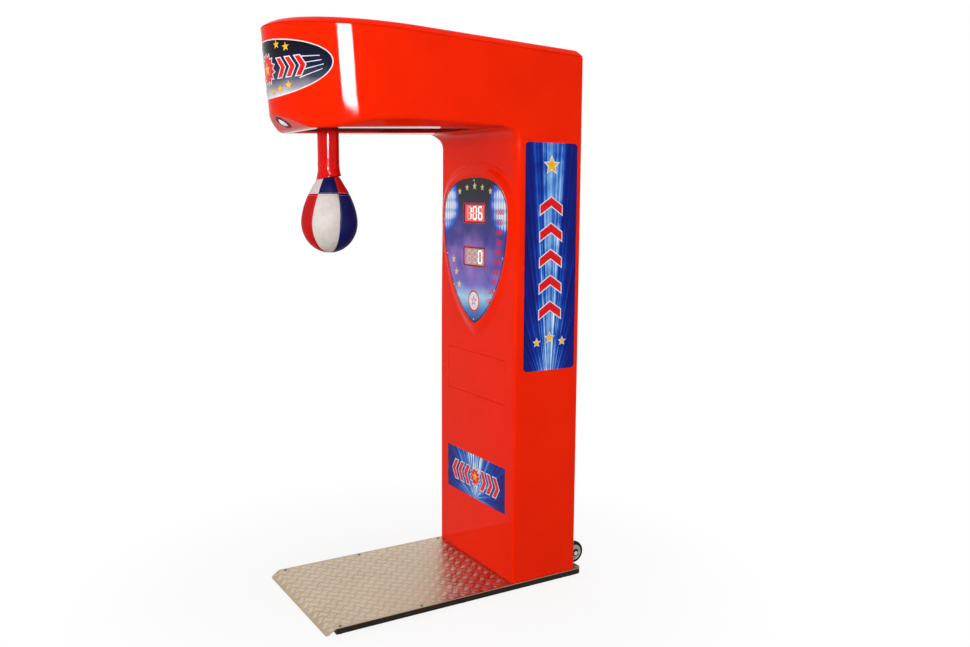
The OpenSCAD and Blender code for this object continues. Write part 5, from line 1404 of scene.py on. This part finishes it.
finishes = {
    # black-brown powder coat on mild steel: satin, a fine orange peel
    "powderSteel": partFinish("blackPowderCoat", ("#150F08", "#211A10"), 60.0, (0.38, 0.5), grain=0.9,
                              strength=0.35),
    # zinc-plated steel: bluish silver, soft reflections, slightly cloudy
    "zinc": partFinish("zincPlate", ("#B4B6B8", "#C9C8C2"), 12.0, (0.24, 0.36), metal=1.0, grain=0.5),
    # turned steel, bright
    "steel": partFinish("turnedSteel", ("#9C9DA0", "#B5B5B6"), 18.0, (0.2, 0.3), metal=1.0, grain=0.4),
    # dull steel screw heads, scuffed like the plate round them
    "dullSteel": partFinish("scuffedSteel", ("#6E6254", "#8A7C6C"), 8.0, (0.35, 0.5), metal=1.0, grain=0.5),
    # moulded rubber: matt black, finely pitted
    "rubber": partFinish("mouldedRubber", ("#0B0A09", "#151413"), 25.0, (0.62, 0.8), grain=0.8, strength=0.4),
    # black ABS: moulded, a spark-eroded grain
    "blackAbs": partFinish("blackAbs", ("#101114", "#191A1D"), 40.0, (0.3, 0.42), grain=0.7, strength=0.3),
    # grey nylon hubs: moulded, slightly waxy
    "greyNylon": partFinish("greyNylon", ("#A9A8A4", "#BAB8B3"), 30.0, (0.42, 0.55), grain=1.2),
    # red stove enamel on sheet steel, the gelcoat's colour
    "redEnamel": partFinish("redEnamel", ("#EA2002", "#EE2202"), 120.0, (0.16, 0.22), grain=2.2, level=0.04),
    "mainBoard": boardFinish(),
    # glass-fibre circuit board under green resist
    "circuitBoard": partFinish("greenResistBoard", ("#0B4A22", "#0F5A2B"), 7.0, (0.28, 0.4), grain=1.0),
    # stamped aluminium case, dull
    "dullAluminium": partFinish("stampedAluminium", ("#A9ABAB", "#BEBEBB"), 35.0, (0.36, 0.5), metal=1.0,
                                grain=0.9),
    # copper winding under amber varnish
    "copper": partFinish("varnishedCopper", ("#9A4A1E", "#B9642C"), 2.5, (0.25, 0.4), metal=1.0, grain=0.6),
    # braided black sleeve over wires
    "braid": partFinish("braidedSleeve", ("#0F0F10", "#2B2B2E"), 2.4, (0.5, 0.7), grain=1.2, strength=0.8),
    # stiff foam rubber of the ball's core
    "foam": partFinish("coreRubber", ("#3A3836", "#4A4744"), 9.0, (0.7, 0.85), grain=1.5, strength=0.5),
    # dark red switch plastic
    "redSwitch": partFinish("redSwitchPlastic", ("#7E0B0B", "#940F0E"), 20.0, (0.25, 0.35), grain=0.8),
    # opal acrylic lens, milky white
    "opal": partFinish("opalAcrylic", ("#E9ECEF", "#F4F5F6"), 20.0, (0.12, 0.2), grain=2.0, strength=0.03,
                       level=0.4),
}

carriedNodes = {  # CAD solids whose shape is right: node: finish
    "floor_pads": "rubber", "base_frame": "powderSteel", "tread_plate_screws": "dullSteel",
    "mast_frame": "powderSteel", "mast_bolts": "zinc", "lid_screws": "zinc", "head_floor_panel": "redEnamel",
    "well_trim": "rubber", "display_screws": "zinc", "display_board": "circuitBoard",
    "speaker": "blackAbs", "pivot_plates": "powderSteel", "pivot_bearings": "steel", "stop_rubbers": "rubber",
    "optical_sensor": "blackAbs", "sensor_disc": "steel", "latch_bracket": "zinc", "latch_hook": "steel",
    "solenoid_coil": "copper", "solenoid_plunger": "steel", "pivot_shaft": "steel", "swing_arm": "powderSteel",
    "ball_core": "foam", "service_door": "redEnamel", "hinge_frame_leaves": "zinc", "hinge_door_leaves": "zinc",
    "hinge_pins": "steel", "door_lock_barrel": "zinc", "door_lock_cam": "steel", "power_inlet": "blackAbs",
    "rocker_switch": "redSwitch", "power_supply": "dullAluminium", "main_board": "mainBoard",
    "wiring_loom": "braid", "wheel_brackets": "powderSteel", "wheel_axles": "zinc",
}
for node, finish in carriedNodes.items():
    dressNode(node, finishes[finish])
print("finishes given to", len(carriedNodes), "carried parts")


# Cover plate in the column front
coverForm = dict(half=235.5, low=758.5, high=940.5, corner=3.0, face=238.0, thick=5.0, edge=0.8,
                 flange=13.0, flangeFront=243.0, flangeRear=246.0)


# The cover's outline, drawn inwards
def coverOutline(inset, corner=coverForm["corner"]):
    c = coverForm
    return roundRectangle(2 * (c["half"] - inset), c["high"] - c["low"] - 2 * inset, corner,
                          centre=(0, (c["low"] + c["high"]) / 2))


# The plate, as rings from its back and round its eased edge to a flat face, and the flange behind it
def buildCover():
    c = coverForm
    turn = np.linspace(0, math.pi / 2, 5)[1:]
    rings = [(0.0, c["thick"]), (0.0, c["edge"])]
    rings += [(c["edge"] * (1 - math.cos(t)), c["edge"] * (1 - math.sin(t))) for t in turn]
    places = []
    for inset, depth in rings:
        x, z = coverOutline(inset).T
        places.append(standing(x, z, np.full(len(x), c["face"] + depth)))
    n, last = len(x), (len(rings) - 1) * len(x)
    faces = gridFaces(len(rings), n, closeColumns=True).tolist()
    faces += [list(range(n))[::-1], list(range(last, last + n))]
    cover = meshPiece("coinCover", np.concatenate(places), faces, redGelcoat, smooth=False)
    faceOutwards(cover)
    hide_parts("coin_cover")
    flange = prism(coverOutline(-c["flange"], 4), c["flangeFront"], c["flangeRear"], standing)
    meshPiece("coverFlange", *flange, redGelcoat, smooth=False)


buildCover()


# Spotlight in the chin
spotForm = dict(rim=33.5, barrel=26.5, inner=24.2, depth=30.0, floor=4.0, rimRise=3.0, lensRadius=23.4,
                lensFoot=-8.0, lensEdge=-6.0, lensTop=8.0)


# A cup with a rounded rim, and a domed lens in it
def buildSpotlight():
    s = spotForm
    turn = np.linspace(0, math.pi, 9)
    mid, half = (s["rim"] + s["inner"]) / 2, (s["rim"] - s["inner"]) / 2
    rows = [(0.0, -s["depth"]), (s["barrel"], -s["depth"]), (s["barrel"], 0.0), (s["rim"], 0.0)]
    rows += [(mid + half * math.cos(t), 0.6 + s["rimRise"] * math.sin(t)) for t in turn]
    rows += [(s["inner"], -s["depth"] + s["floor"]), (0.0, -s["depth"] + s["floor"])]
    cup = turned("spotlightCup", rows, onChin, finishes["blackAbs"])
    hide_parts("spotlight_housing")
    turn = np.linspace(0, math.pi / 2, 12)
    radius, foot, low, top = s["lensRadius"], s["lensFoot"], s["lensEdge"], s["lensTop"]
    rows = [(0.0, foot), (radius, foot), (radius, low)]
    rows += [(radius * math.cos(t), low + (top - low) * math.sin(t)) for t in turn[1:]]
    rows[-1] = (0.0, top)
    lens = turned("spotlightLens", rows, onChin, finishes["opal"])
    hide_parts("spotlight_lens")


buildSpotlight()


# Transport wheels
wheelForm = dict(x=225.0, y=602.0, z=64.0, radius=48.0, wide=28.0, hub=34.0, bore=5.05, ribs=6, ribIn=13.0,
                 ribOut=28.5, ribHalf=1.5, ribLow=5.5, ribHigh=11.5)


# Each wheel: a tyre with a round crown, a hub with a sunk web, and six ribs on each side of the web
def buildWheels():
    w = wheelForm
    half, hub, radius = w["wide"] / 2, w["hub"], w["radius"]
    turn = np.linspace(-math.pi / 2, math.pi / 2, 17)
    crown = [(hub + (radius - hub) * math.cos(t) ** 0.55, half * math.sin(t)) for t in turn[1:-1]]
    tyre = [(hub, -half * 0.86)] + crown + [(hub, half * 0.86)]
    edge = [(w["bore"], half), (w["bore"] + 6, half), (w["bore"] + 8, half - 4.5), (hub - 7, half - 7),
            (hub - 5, half - 1.5), (hub, half - 1.5)]
    body = [(radius, -height) for radius, height in edge] + edge[::-1]
    for side, label in ((1, "Right"), (-1, "Left")):
        def place(x, y, z):
            return np.stack([side * w["x"] + z, w["y"] + x, w["z"] + y], axis=1) * mm

        name = "wheel_" + label.lower()
        rubber = turned("wheelTyre" + label, tyre + [tyre[0]], place, finishes["rubber"], body=name)
        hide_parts("wheel_tyre_" + label.lower())
        centre = turned("wheelHub" + label, body + [body[0]], place, finishes["greyNylon"], body=name)
        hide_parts("wheel_hub_" + label.lower())
        ribs = []
        for k in range(w["ribs"]):
            angle = 2 * math.pi * k / w["ribs"]
            for s in (-1, 1):
                x, y = boxOutline(w["ribIn"], -w["ribHalf"], w["ribOut"], w["ribHalf"]).T
                outline = np.stack([x * math.cos(angle) - y * math.sin(angle),
                                    x * math.sin(angle) + y * math.cos(angle)], axis=1)
                ribs.append(prism(outline, s * w["ribLow"], s * w["ribHigh"], place))
        piece = meshPiece("wheelRibs" + label, *joinParts(ribs), finishes["greyNylon"], body=name, smooth=False)
        faceOutwards(piece)


buildWheels()
print("cover, spotlight and wheels made")


# Pieces that a lamp lights alone: bright metal would mirror the streak lamp as a glare, and the lamp
# overhead is for the lid, not for the tread plate
lampPieces = {"streakLamp": ("bodyShell", "headLid", "displayPad", "coinCover", "neckSleeve", "sewnBall"),
              "topLamp": ("headLid", "lid_screws")}


def linkLamps():
    for lamp, names in lampPieces.items():
        lit = bpy.data.collections.new(lamp + "Pieces")
        for name in names:
            lit.objects.link(bpy.data.objects[name])
        bpy.data.objects[lamp].light_linking.receiver_collection = lit


linkLamps()
